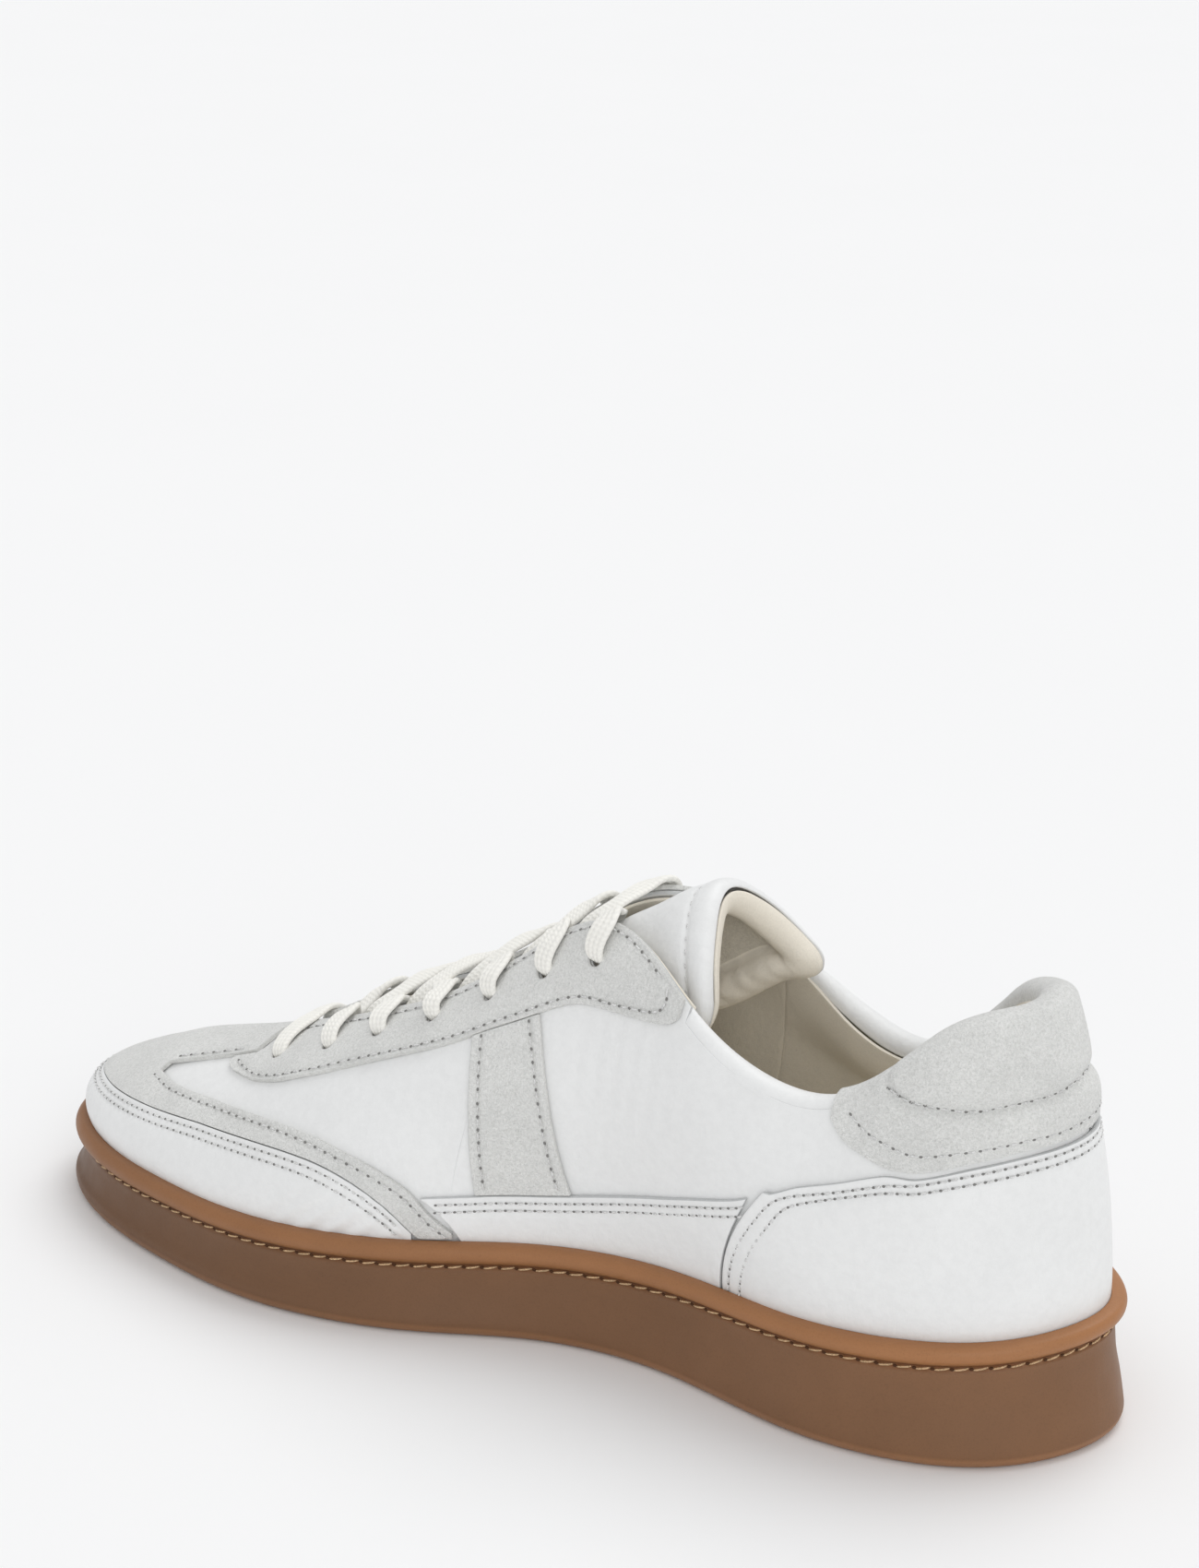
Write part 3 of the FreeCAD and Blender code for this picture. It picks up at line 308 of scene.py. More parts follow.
# ---------------------------------------------------------------- materials
class Nodes:
    """Short names for building one material's node tree."""

    def __init__(self, name):
        self.material = bpy.data.materials.new(name)
        self.material.use_nodes = True
        self.tree = self.material.node_tree
        self.shader = self.tree.nodes["Principled BSDF"]
        self.place = self.tree.nodes.new("ShaderNodeTexCoord").outputs["Object"]

    def feed(self, socket, value):
        if isinstance(value, bpy.types.NodeSocket):
            self.tree.links.new(value, socket)
        else:
            socket.default_value = value

    def add(self, kind, **inputs):
        node = self.tree.nodes.new(kind)
        for key, value in inputs.items():
            self.feed(node.inputs[key.replace("_", " ")], value)
        return node

    def noise(self, scale, detail=3.0, rough=0.55, stretch=None, distort=0.0):
        where = self.place
        if stretch:
            where = self.add("ShaderNodeMapping", Vector=where, Scale=stretch).outputs[0]
        node = self.add("ShaderNodeTexNoise", Vector=where, Scale=scale, Detail=detail,
                        Roughness=rough, Distortion=distort)
        return node.outputs["Fac"]

    def grain(self, scale):
        node = self.add("ShaderNodeTexVoronoi", Vector=self.place, Scale=scale, Randomness=1.0)
        node.feature = "SMOOTH_F1"
        return node.outputs["Distance"]

    def math(self, kind, a, b=0.0, c=0.0):
        node = self.tree.nodes.new("ShaderNodeMath")
        node.operation = kind
        for socket, value in zip(node.inputs, (a, b, c)):
            self.feed(socket, value)
        return node.outputs[0]

    def ramp(self, factor, stops):
        node = self.add("ShaderNodeValToRGB", Fac=factor)
        ramp = node.color_ramp
        while len(ramp.elements) < len(stops):
            ramp.elements.new(0.5)
        for element, (spot, colour) in zip(ramp.elements, stops):
            element.position = spot
            element.color = colour
        return node.outputs["Color"]

    def value_ramp(self, factor, stops):
        return self.ramp(factor, [(s, (c, c, c, 1.0)) for s, c in stops])

    def times(self, a, b):
        """Product of two colours."""
        node = self.tree.nodes.new("ShaderNodeMix")
        node.data_type = "RGBA"
        node.blend_type = "MULTIPLY"
        for k, value in ((0, 1.0), (6, a), (7, b)):
            self.feed(node.inputs[k], value)
        return node.outputs[2]

    def tinted(self, base, factor, stops):
        """Colour multiplied by a grey ramp over a pattern."""
        return self.times(base, self.value_ramp(factor, stops))

    def bump(self, height, distance, strength=1.0, normal=None):
        node = self.add("ShaderNodeBump", Height=height, Distance=distance, Strength=strength)
        if normal is not None:
            self.tree.links.new(normal, node.inputs["Normal"])
        return node.outputs["Normal"]

    def finish(self, colour, rough, normal=None, **values):
        values.update(Base_Color=colour, Roughness=rough)
        if normal is not None:
            values["Normal"] = normal
        for name, value in values.items():
            self.feed(self.shader.inputs[name.replace("_", " ")], value)
        return self.material


def white_leather(name, tint=(0.885, 0.89, 0.885, 1)):
    m = Nodes(name)
    broad = m.noise(28, 3.0)
    base = m.tinted(tint, broad, [(0.3, 0.955), (0.7, 1.0)])
    base = m.tinted(base, m.noise(420, 5.0, 0.7), [(0.35, 0.965), (0.6, 1.0)])
    rough = m.value_ramp(broad, [(0.2, 0.38), (0.8, 0.5)])
    folds = m.noise(150, 4.0, 0.6, stretch=(1.0, 1.0, 0.35), distort=0.6)
    normal = m.bump(m.noise(2600, 2.0), 0.00012, 0.35)
    normal = m.bump(m.grain(760), 0.00022, 0.3, normal)
    normal = m.bump(folds, 0.0011, 0.28, normal)
    return m.finish(base, rough, normal, Specular_IOR_Level=0.42)


def suede(name, dark, light, nap=1.0):
    m = Nodes(name)
    fibre = m.noise(1500, 4.0, 0.7)
    fine = m.noise(4200, 2.0, 0.6)
    blend = m.math("ADD", m.math("MULTIPLY", fibre, 0.62), m.math("MULTIPLY", fine, 0.38))
    base = m.ramp(blend, [(0.36, dark), (0.62, light)])
    base = m.tinted(base, m.noise(60, 4.0, 0.6), [(0.3, 0.93), (0.7, 1.03)])
    rough = m.value_ramp(fine, [(0.2, 0.88), (0.8, 1.0)])
    normal = m.bump(fine, 0.00035 * nap, 0.7)
    normal = m.bump(fibre, 0.0006 * nap, 0.6, normal)
    return m.finish(base, rough, normal, Specular_IOR_Level=0.12, Sheen_Weight=0.25,
                    Sheen_Roughness=0.6)


def cream_leather(name, tint):
    m = Nodes(name)
    pores = m.noise(2400, 2.0)
    broad = m.noise(22, 3.0)
    base = m.tinted(tint, broad, [(0.3, 0.93), (0.7, 1.0)])
    base = m.tinted(base, pores, [(0.3, 0.94), (0.6, 1.0)])
    rough = m.value_ramp(broad, [(0.2, 0.6), (0.8, 0.74)])
    normal = m.bump(pores, 0.00012, 0.4)
    normal = m.bump(m.grain(640), 0.0003, 0.3, normal)
    normal = m.bump(m.noise(90, 4.0, 0.6, distort=0.4), 0.0008, 0.25, normal)
    return m.finish(base, rough, normal, Specular_IOR_Level=0.3)


def gum_rubber():
    m = Nodes("gum_rubber")
    split = m.add("ShaderNodeSeparateXYZ", Vector=m.place)
    x, z = split.outputs[0], split.outputs[2]
    s = m.math("MULTIPLY", x, 1 / 0.15)
    groove = m.math("MULTIPLY_ADD", s, -GROOVE_FALL * MM, GROOVE_MID * MM)
    groove = m.math("MULTIPLY_ADD", m.math("MULTIPLY", s, s), GROOVE_SAG * MM, groove)
    above = m.math("MULTIPLY_ADD", m.math("SUBTRACT", z, groove), 100.0, 0.5)
    # Colour by height above the stitch groove; the darkest stop, on the groove line itself, is
    # painted shade in the groove.
    band = m.ramp(above, [(0.0, (0.172, 0.082, 0.036, 1)), (0.36, (0.18, 0.086, 0.038, 1)),
                          (0.455, (0.22, 0.095, 0.034, 1)), (0.505, (0.15, 0.058, 0.018, 1)),
                          (0.56, (0.26, 0.115, 0.042, 1)), (0.72, (0.30, 0.132, 0.05, 1)),
                          (1.0, (0.31, 0.138, 0.054, 1))])
    # Bottom 2.6 mm of the sole made about 1.5 times as bright: a painted light line along the
    # bottom flare.
    band = m.tinted(band, m.math("MULTIPLY", z, 100.0), [(0.1, 1.5), (0.26, 1.4), (0.34, 1.0)])
    # Brighter towards the heel and darker towards the toe: painted light along the sole.
    band = m.tinted(band, m.math("MULTIPLY_ADD", x, -3.0, 0.5), [(0.1, 0.9), (0.95, 1.3)])
    band = m.tinted(band, m.noise(45, 4.0, 0.6), [(0.3, 0.93), (0.7, 1.04)])
    band = m.tinted(band, m.noise(2100, 3.0, 0.7), [(0.32, 0.9), (0.5, 1.0)])
    fine = m.noise(1700, 3.0, 0.6)
    rough = m.value_ramp(m.noise(120, 4.0), [(0.3, 0.42), (0.7, 0.52)])
    normal = m.bump(fine, 0.0001, 0.35)
    normal = m.bump(m.noise(90, 3.0), 0.0006, 0.2, normal)
    return m.finish(band, rough, normal, Specular_IOR_Level=0.4)


def knitted(name, tint):
    m = Nodes(name)
    uv = m.tree.nodes.new("ShaderNodeUVMap").outputs[0]
    split = m.add("ShaderNodeSeparateXYZ", Vector=uv)
    along, across = split.outputs[0], split.outputs[1]
    lane = m.math("FRACT", across)
    slope = m.math("ABSOLUTE", m.math("SUBTRACT", lane, 0.5))
    wave = m.math("SINE", m.math("MULTIPLY_ADD", slope, 5.0, m.math("MULTIPLY", along, 5.2)))
    fuzz = m.noise(3200, 3.0, 0.7)
    height = m.math("MULTIPLY_ADD", fuzz, 0.8, m.math("MULTIPLY", wave, 0.5))
    # Colour darkened where the knit wave is low, in step with the bump: painted shade in the knit's
    # hollows.
    base = m.tinted(tint, m.math("MULTIPLY_ADD", wave, 0.5, 0.5), [(0.0, 0.95), (0.6, 1.0)])
    base = m.tinted(base, m.noise(160, 3.0), [(0.3, 0.95), (0.7, 1.0)])
    rough = m.value_ramp(fuzz, [(0.3, 0.85), (0.7, 0.98)])
    return m.finish(base, rough, m.bump(height, 0.0002, 0.6), Specular_IOR_Level=0.15,
                    Sheen_Weight=0.2, Sheen_Roughness=0.5)


def thread(name, tint, dark=0.75):
    m = Nodes(name)
    twist = m.math("SINE", m.math("MULTIPLY", m.noise(900, 1.0), 30.0))
    base = m.tinted(tint, m.math("MULTIPLY_ADD", twist, 0.5, 0.5), [(0.0, dark), (0.7, 1.0)])
    rough = m.value_ramp(m.noise(2000, 2.0), [(0.3, 0.7), (0.7, 0.85)])
    return m.finish(base, rough, m.bump(twist, 0.00006, 0.5), Specular_IOR_Level=0.25)


def plain(name, tint, rough_low, rough_high, scale, depth, spread=0.1):
    """Cloth, board, foam and film: speckled colour, roughness and fine bump."""
    m = Nodes(name)
    speck = m.noise(scale, 4.0, 0.65)
    base = m.tinted(tint, speck, [(0.3, 1.0 - spread), (0.7, 1.0)])
    rough = m.value_ramp(speck, [(0.3, rough_low), (0.7, rough_high)])
    return m.finish(base, rough, m.bump(speck, depth, 0.5), Specular_IOR_Level=0.3)


LEATHER = white_leather("white_leather")
SUEDE = suede("grey_suede", (0.68, 0.685, 0.66, 1), (0.92, 0.92, 0.90, 1))
SUEDE_EDGE = suede("suede_edge", (0.76, 0.76, 0.73, 1), (0.96, 0.96, 0.93, 1), 1.6)
LEATHER_EDGE = plain("leather_edge", (0.62, 0.63, 0.63, 1), 0.7, 0.85, 1500, 0.0003)
CREAM = cream_leather("cream_lining", (0.93, 0.87, 0.755, 1))
CREAM_SUEDE = suede("tongue_panel", (0.62, 0.575, 0.485, 1), (0.80, 0.75, 0.645, 1), 0.8)
GUM = gum_rubber()
COTTON = knitted("cotton_lace", (1.0, 0.985, 0.93, 1))
SEWN = thread("upper_thread", (0.80, 0.80, 0.79, 1))
# Grey discs at the upper's needle holes: painted shade in the holes.
HOLE_SHADE = plain("needle_hole_shade", (0.27, 0.265, 0.255, 1), 0.9, 0.98, 2500, 0.0002, 0.3)
TAN = thread("sole_thread", (0.72, 0.50, 0.29, 1), 0.6)
# Dark brown discs at the sole's needle holes: painted shade in the holes.
GUM_HOLE_SHADE = plain("sole_hole_shade", (0.085, 0.032, 0.01, 1), 0.7, 0.9, 2500, 0.0002, 0.3)
FOAM = plain("eva_foam", (0.68, 0.66, 0.60, 1), 0.8, 0.95, 1400, 0.0004)
BOARD = plain("insole_board", (0.62, 0.58, 0.50, 1), 0.8, 0.95, 900, 0.0003)
STIFF = plain("stiffener_board", (0.55, 0.50, 0.42, 1), 0.8, 0.95, 700, 0.0003)
PADDING = plain("padding_foam", (0.70, 0.66, 0.50, 1), 0.9, 1.0, 1800, 0.0005)
CLOTH = plain("interlining_cloth", (0.70, 0.70, 0.68, 1), 0.85, 0.98, 1600, 0.0003)
FILM = plain("aglet_film", (0.78, 0.78, 0.76, 1), 0.18, 0.3, 700, 0.0001, 0.04)


# ---------------------------------------------------------------- mesh making
def link(obj, body, slot, *nodes):
    bpy.context.scene.collection.objects.link(obj)
    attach(obj, body)
    if nodes:
        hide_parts(*nodes)
    return obj


def quads(flat, nu, nv, column, outward, start=0):
    """Faces of a grid of points, turned to face outward at the middle row of one column."""
    i, j = np.meshgrid(np.arange(nu - 1), np.arange(nv - 1), indexing="ij")
    a = start + (i * nv + j).ravel()
    face = [a, a + 1, a + nv + 1, a + nv]
    mid = (nu // 2) * nv + column
    if np.dot(np.cross(flat[mid + 1] - flat[mid], flat[mid + nv] - flat[mid]), outward) < 0:
        face = face[::-1]
    return np.stack(face, -1)


def tube_faces(rings, sides, start=0):
    """Side faces of a tube, ring by ring, then its two caps."""
    faces = []
    for k in range(rings - 1):
        for j in range(sides):
            a = start + k * sides + j
            b = start + k * sides + (j + 1) % sides
            faces.append((a, b, b + sides, a + sides))
    last = start + (rings - 1) * sides
    return faces + [tuple(range(start, start + sides))[::-1], tuple(range(last, last + sides))]


def mesh_of(name, points, faces):
    mesh = bpy.data.meshes.new(name)
    mesh.from_pydata([tuple(p) for p in world(points)], [],
                     [tuple(int(k) for k in f) for f in faces])
    mesh.update()
    return mesh


def ripple(points, size, amount, seed=0.0):
    """Slow uneven swell of hand-lasted leather, in mm."""
    out = np.empty(len(points))
    for k, p in enumerate(points):
        out[k] = noise.noise(Vector((p[0] / size + seed, p[1] / size - seed, p[2] / size)))
    return out * amount


def thickened(name, mesh, materials, thick, edge=0.0, rim=1, quality=False, cut_by=None):
    """Gives a sheet its thickness, rounded cut edges and punched holes."""
    for m in materials:
        mesh.materials.append(m)
    scene = bpy.context.scene.collection.objects
    obj = bpy.data.objects.new(name, mesh)
    scene.link(obj)
    shell = obj.modifiers.new("thick", "SOLIDIFY")
    shell.thickness = thick * MM
    shell.offset = -1.0
    shell.use_quality_normals = quality
    shell.material_offset_rim = min(rim, len(materials) - 1)
    if edge:
        bevel = obj.modifiers.new("edge", "BEVEL")
        bevel.width = edge * MM
        bevel.segments = 2
        bevel.limit_method = "ANGLE"
        bevel.angle_limit = math.radians(50)
    if cut_by is not None:
        holes = obj.modifiers.new("holes", "BOOLEAN")
        holes.object = cut_by
        holes.operation = "DIFFERENCE"
        holes.solver = "EXACT"
    bpy.context.view_layer.update()
    graph = bpy.context.evaluated_depsgraph_get()
    made = bpy.data.meshes.new_from_object(obj.evaluated_get(graph))
    obj.modifiers.clear()
    obj.data = made
    made.name = obj.name
    bpy.data.meshes.remove(mesh)
    made.shade_smooth()
    scene.unlink(obj)
    return obj


def sew_panel(name, cells, depth, thick, slot, materials, relief=None, seams=(), swell=0.12,
              edge=0.35, cut_by=None, inward=False):
    """Leather panel from (station, height) grids, standing for the CAD node of its name.

    relief(u, v, points) adds height in mm, seams are sewn lines that sink into the leather."""
    points, faces, heights, normals = [], [], [], []
    start = 0
    for u, v in cells:
        nu, nv = u.shape
        d = depth(u, v) if callable(depth) else np.full(u.shape, depth, float)
        n = skin_normal(u, v)
        p = (skin(u, v) - n * d[..., None]).reshape(-1, 3)
        n = n.reshape(-1, 3)
        lift = ripple(p, 17.0, swell, 3.1)
        if relief is not None:
            lift = lift + relief(u.ravel(), v.ravel(), p)
        facing = n[(nu // 2) * nv + nv // 2] * (-1 if inward else 1)
        faces.append(quads(p, nu, nv, nv // 2, facing, start))
        points.append(p)
        normals.append(n)
        heights.append(lift)
        start += nu * nv
    points = np.concatenate(points)
    heights = np.concatenate(heights)
    if seams:
        heights = heights - SEAM_SINK * near_seams(points, seams)
    points = points + np.concatenate(normals) * heights[:, None]
    mesh = mesh_of(name, points, np.concatenate(faces))
    bm = bmesh.new()
    bm.from_mesh(mesh)
    bmesh.ops.remove_doubles(bm, verts=bm.verts, dist=WELD * MM)
    bm.to_mesh(mesh)
    bm.free()
    obj = thickened(name, mesh, materials, thick, edge, quality=True, cut_by=cut_by)
    return link(obj, "shoe", slot, name)


def near_seams(points, seams):
    spots = np.concatenate(seams)
    tree = KDTree(len(spots))
    for k, p in enumerate(spots):
        tree.insert(p, k)
    tree.balance()
    out = np.zeros(len(points))
    for k, p in enumerate(points):
        d = tree.find(p)[2]
        if d < 3.0:
            out[k] = math.exp(-(d / 0.85) ** 2)
    return out


def grid(u0, u1, low, high, nu, nv, side=1):
    """Grid between two height lines from station u0 to u1."""
    u = np.linspace(u0, u1, nu)[:, None] * np.ones(nv)
    t = np.linspace(0, 1, nv)[None, :]
    lo = low(u[:, :1]) if callable(low) else low
    hi = high(u[:, :1]) if callable(high) else high
    v = (lo + (hi - lo) * t) * np.ones_like(u)
    return on_side(u, side), v


def uv_line(spots, side=1, depth=0.0, step=0.25):
    """Evenly spaced surface points and normals along listed (station, height) spots."""
    spots = np.array(spots, float)
    leg = np.concatenate([[0], np.cumsum(np.hypot(np.diff(spots[:, 0]) * 30,
                                                  np.diff(spots[:, 1]) * 90))])
    t = np.linspace(0, leg[-1], 1200)
    u = on_side(line(list(zip(leg, spots[:, 0])))(t), side)
    v = line(list(zip(leg, spots[:, 1])))(t)
    return even(at_depth(u, v, depth), skin_normal(u, v), step)


def run_along(p):
    """Length from the first point to each point."""
    return np.concatenate([[0], np.cumsum(np.linalg.norm(np.diff(p, axis=0), axis=1))])


def even(p, n, step):
    run = run_along(p)
    count = max(int(run[-1] / step), 2)
    s = np.linspace(0, run[-1], count)
    q = np.stack([np.interp(s, run, p[:, k]) for k in range(3)], -1)
    m = unit(np.stack([np.interp(s, run, n[:, k]) for k in range(3)], -1))
    return q, m


# ---------------------------------------------------------------- stitches
class Sewing:
    """Stitches of one thread: short arched strands, and at each end a dark disc that is painted
    shade in the needle hole.
    """

    def __init__(self):
        self.points, self.faces, self.kinds = [], [], []

    def strand(self, rings, kind):
        faces = tube_faces(len(rings), len(rings[0]), len(self.points))
        for r in rings:
            self.points.extend(r)
        self.faces += faces
        self.kinds += [kind] * len(faces)

    def row(self, path, pitch, share, radius, lift, hole_shade, slant=0.0):
        p, n = path
        step = np.linalg.norm(p[1] - p[0])
        total = step * (len(p) - 1)
        count = max(int(total / pitch), 1)

        def place(along):
            at = np.clip(along / step, 0, len(p) - 1.001)
            i = int(at)
            run = unit(p[min(i + 2, len(p) - 1)] - p[max(i - 1, 0)])
            return i, at - i, run, unit(np.cross(n[i], run))

        def loop(centre, side, wide, up, tall):
            return [centre + side * wide * math.cos(a) + up * tall * math.sin(a)
                    for a in np.linspace(0, 2 * math.pi, 7)[:-1]]

        for k in range(count):
            centre = (k + 0.5) * total / count
            rings = []
            for t in np.linspace(-1, 1, 6):
                i, rest, run, side = place(centre + 0.5 * share * pitch * t)
                rise = lift * (1 - t * t) - 0.22 * t ** 4
                fat = radius * (1.0 - 0.45 * t ** 4)
                q = p[i] + (p[i + 1] - p[i]) * rest + n[i] * rise + side * slant * t
                rings.append(loop(q, side, fat, n[i], 0.8 * fat))
            self.strand(rings, 0)
            # Flat dark disc sunk at the needle hole, painted shade in the hole.
            i, rest, run, side = place(centre + 0.5 * pitch)
            rings = []
            for t in (-1.0, -0.55, 0.0, 0.55, 1.0):
                fat = hole_shade * math.sqrt(max(1.02 - t * t, 0.02))
                q = p[i] - n[i] * 0.09 + run * (1.35 * hole_shade * t)
                rings.append(loop(q, side, fat, n[i], 0.35 * fat))
            self.strand(rings, 1)

    def object(self, name, materials, slot, body="shoe", nodes=()):
        mesh = mesh_of(name, np.array(self.points), self.faces)
        for m in materials:
            mesh.materials.append(m)
        mesh.polygons.foreach_set("material_index", np.array(self.kinds, np.int32))
        mesh.shade_smooth()
        return link(bpy.data.objects.new(name, mesh), body, slot, *nodes)


# ---------------------------------------------------------------- seams on the upper
def sewn_line(f, u0, u1, gap, side, count):
    """Seam that follows a panel edge at a fixed distance in mm, measured down the wall."""
    u = on_side(np.linspace(u0, u1, count), side)
    edge_u = np.where(u > TOE, TURN - u, u) if f not in (rand_top, band_top, stem_edge) else u
    v = f(edge_u)
    wall = np.linalg.norm(skin(u, v + 0.01) - skin(u, v - 0.01), axis=-1) / 0.02
    slope = np.gradient(v, u) * wall / np.linalg.norm(np.gradient(skin(u, v), axis=0)
                                                      / np.gradient(u)[:, None], axis=-1)
    v2 = v + gap / wall * np.sqrt(1 + slope ** 2)
    return even(at_depth(u, v2, 0.0), skin_normal(u, v2), 0.25)


rand_rows = [sewn_line(rand_top, 6.0, 16.0, -g, 1, 240) for g in (1.7, 3.9)]
band_row = {s: sewn_line(band_top, 5.62, 9.02, -2.0, s, 120) for s in (1, -1)}
foxing_rows = {s: [sewn_line(foxing_top, 3.42, 5.74, -g, s, 130) for g in (1.9, 4.1)]
               for s in (1, -1)}
HEEL_SEAM = [(0.0, 0.585), (1.0, 0.585), (1.6, 0.58), (2.1, 0.585), (2.4, 0.613), (2.75, 0.62),
             (3.05, 0.598), (3.22, 0.54), (3.34, 0.42), (3.45, 0.28), (3.53, 0.13), (3.57, 0.0)]
heel_rows = []
for g in (1.8, 4.1):
    spots = [(u - (g - 1.8) / 26 * smooth((u - 2.6) / 0.6),
              v - g / 95 * (1 - 0.4 * smooth((u - 3.0) / 0.3))) for u, v in HEEL_SEAM]
    heel_rows.append(uv_line([(-u, v) for u, v in spots[::-1]] + spots[1:]))
eyestay_seam = [(4.30, 0.975), (4.27, 0.93), (4.3, 0.885), (4.42, 0.83)]
eyestay_seam += [(u, float(eyestay_low(u)) + 0.021)
                 for u in (4.7, 5.0, 5.4, 5.8, 6.3, 6.7, 7.2, 7.5, 7.8)]
eyestay_seam += [(8.05, 0.672), (8.14, 0.70)]
THROAT_SEAM = [(4.36, 0.972), (4.9, 0.968), (5.6, 0.962), (6.4, 0.955), (7.1, 0.95),
               (7.6, 0.93), (7.85, 0.86)]
eyestay_rows = {s: [uv_line(eyestay_seam, s), uv_line(THROAT_SEAM, s)] for s in (1, -1)}
stem_rows = {s: uv_line([(8.2, 0.775), (8.45, 0.75), (8.75, 0.72), (8.95, 0.70)], s)
             for s in (1, -1)}
collar_low_row = uv_line([(-2.74, 0.90), (-2.6, 0.82), (-2.4, 0.74), (-2.1, 0.655), (-1.6, 0.628),
                          (-1.1, 0.628), (0, 0.63), (1.1, 0.628), (1.6, 0.628), (2.1, 0.655),
                          (2.4, 0.74), (2.6, 0.82), (2.74, 0.90)])
divide_row = uv_line([(-2.42, 0.925), (-2.17, 0.824), (-1.7, 0.739), (-1.22, 0.729), (-0.6, 0.734),
                      (0, 0.745), (0.6, 0.734), (1.22, 0.729), (1.7, 0.739), (2.17, 0.824),
                      (2.42, 0.925)], 1, 1.1)
saddle_rows = {}
for s in (1, -1):
    edges = []
    for a, b in (((4.75, 5.3), 0.075), ((5.45, 5.82), -0.075)):
        rows = []
        for t in np.linspace(0.02, 0.98, 9):
            u = a[0] + (a[1] - a[0]) * t + b
            lo, hi = float(foxing_top(u)) + 0.004, float(eyestay_low(u)) - 0.004
            rows.append((u, lo + (hi - lo) * t))
        edges.append(uv_line(rows, s))
    saddle_rows[s] = edges


# ---------------------------------------------------------------- lace holes
def hole_spot(index, side, depth):
    u, v = EYELETS[index]
    u, v = np.array(float(on_side(u, side))), np.array(float(v))
    n = skin_normal(u, v)
    return skin(u, v) - n * depth, n


def hole_cutters():
    bm = bmesh.new()
    for side in (1, -1):
        for k in range(len(EYELETS)):
            p, n = hole_spot(k, side, 2.0)
            m = Vector(n).to_track_quat("Z", "Y").to_matrix().to_4x4()
            m.translation = Vector(world(p))
            bmesh.ops.create_cone(bm, cap_ends=True, segments=20, radius1=HOLE_RADIUS * MM,
                                  radius2=HOLE_RADIUS * MM, depth=9 * MM, matrix=m)
    mesh = bpy.data.meshes.new("hole_cutters")
    bm.to_mesh(mesh)
    bm.free()
    obj = bpy.data.objects.new("hole_cutters", mesh)
    bpy.context.scene.collection.objects.link(obj)
    return obj


cutters = hole_cutters()
SUEDES = (SUEDE, SUEDE_EDGE)
LEATHERS = (LEATHER, LEATHER_EDGE)


# ---------------------------------------------------------------- base leather
def crease(u, v, p):
    """Fine gathers in the quarter below the rear of the eyestay, and slack over the arch."""
    r = round_heel(u)
    zone = (np.exp(-((r - 4.55) / 0.45) ** 2) * smooth((v - 0.35) / 0.2)
            * (1 - smooth((v - 0.72) / 0.1)))
    wave = np.sin(p[:, 0] * 1.15 + p[:, 2] * 0.25 + 1.5 * np.sin(p[:, 2] * 0.12))
    return 0.1 * zone * wave + ripple(p, 42.0, 0.35, 9.0)


def fold_points(u, outer_depth, last, height, reach, rows):
    """Arc over the collar edge at each station, from the outside round to the lining."""
    seat = skin(u, 0 * u + COLLAR_LINE)
    out = skin_normal(u, 0 * u + COLLAR_LINE)
    rise = unit(skin(u, 0 * u + 1.0) - seat)
    middle = ((outer_depth + last) / 2)[:, None]
    half = ((last - outer_depth) / 2)[:, None]
    rows_out = []
    for a in np.linspace(0, math.pi * reach, rows):
        rows_out.append(seat - out * (middle - half * math.cos(a)) + rise * (height * math.sin(a)))
    return np.stack(rows_out, 1)


def collar_roll(side):
    """Leather turned over the foam along the collar, from outside round to the lining."""
    name = "collar_roll_" + TAG[side]
    u = np.linspace(on_side(2.7, side), on_side(4.12, side), int(abs(4.12 - 2.7) * 26) + 2)
    last = DEPTH_INSIDE + pad(u, 0 * u + COLLAR_LINE) - 0.2
    p = fold_points(u, 0 * u + DEPTH_BASE, last, FOLD_RISE - DEPTH_BASE, 0.97, 15)
    p[:, 0] -= unit(skin(u, 0 * u + 1.0) - skin(u, 0 * u + COLLAR_LINE)) * 1.2
    nu, nv = p.shape[:2]
    flat = p.reshape(-1, 3)
    n = skin_normal(u, 0 * u + COLLAR_LINE)
    faces = quads(flat, nu, nv, 0, n[nu // 2])
    flat = flat + ripple(flat, 9.0, 0.25, 1.7)[:, None] * np.repeat(n, nv, 0)
    obj = thickened(name, mesh_of(name, flat, faces), LEATHERS, BASE, 0.3)
    link(obj, "shoe", "white_leather")


def upper_base():
    for side in (1, -1):
        cells = [grid(0.03, 4.1, -0.1, COLLAR_LINE, 150, 72, side),
                 grid(4.1, 5.64, -0.1, COLLAR_LINE, 60, 72, side),
                 grid(4.1, 5.64, COLLAR_LINE, 1.0, 60, 6, side)]
        sew_panel("quarter_" + TAG[side], cells, DEPTH_BASE, BASE, "white_leather", LEATHERS,
                  relief=crease, cut_by=cutters)
        collar_roll(side)
    cells = []
    for side in (1, -1):
        cells.append(grid(5.62, THROAT, -0.1, 1.0, 90, 62, side))
        cells.append(grid(THROAT, TOE, -0.1, 1.0, 90, 62, side))
    sew_panel("vamp", cells, DEPTH_BASE, BASE, "white_leather", LEATHERS,
              relief=lambda u, v, p: ripple(p, 30.0, 0.35, 5.0), cut_by=cutters)


# ---------------------------------------------------------------- overlays
def shares(nu, nv, start=0.0):
    """Grids of the share along a panel and the share up it."""
    return np.meshgrid(np.linspace(start, 1, nu), np.linspace(0, 1, nv), indexing="ij")


def panel(name, cells, of_suede, rows=(), **rest):
    """Overlay on the outermost layer, sewn along its rows."""
    slot, materials = ("grey_suede", SUEDES) if of_suede else ("white_leather", LEATHERS)
    sew_panel(name, cells, 0.0, OVERLAY, slot, materials, seams=[r[0] for r in rows], **rest)


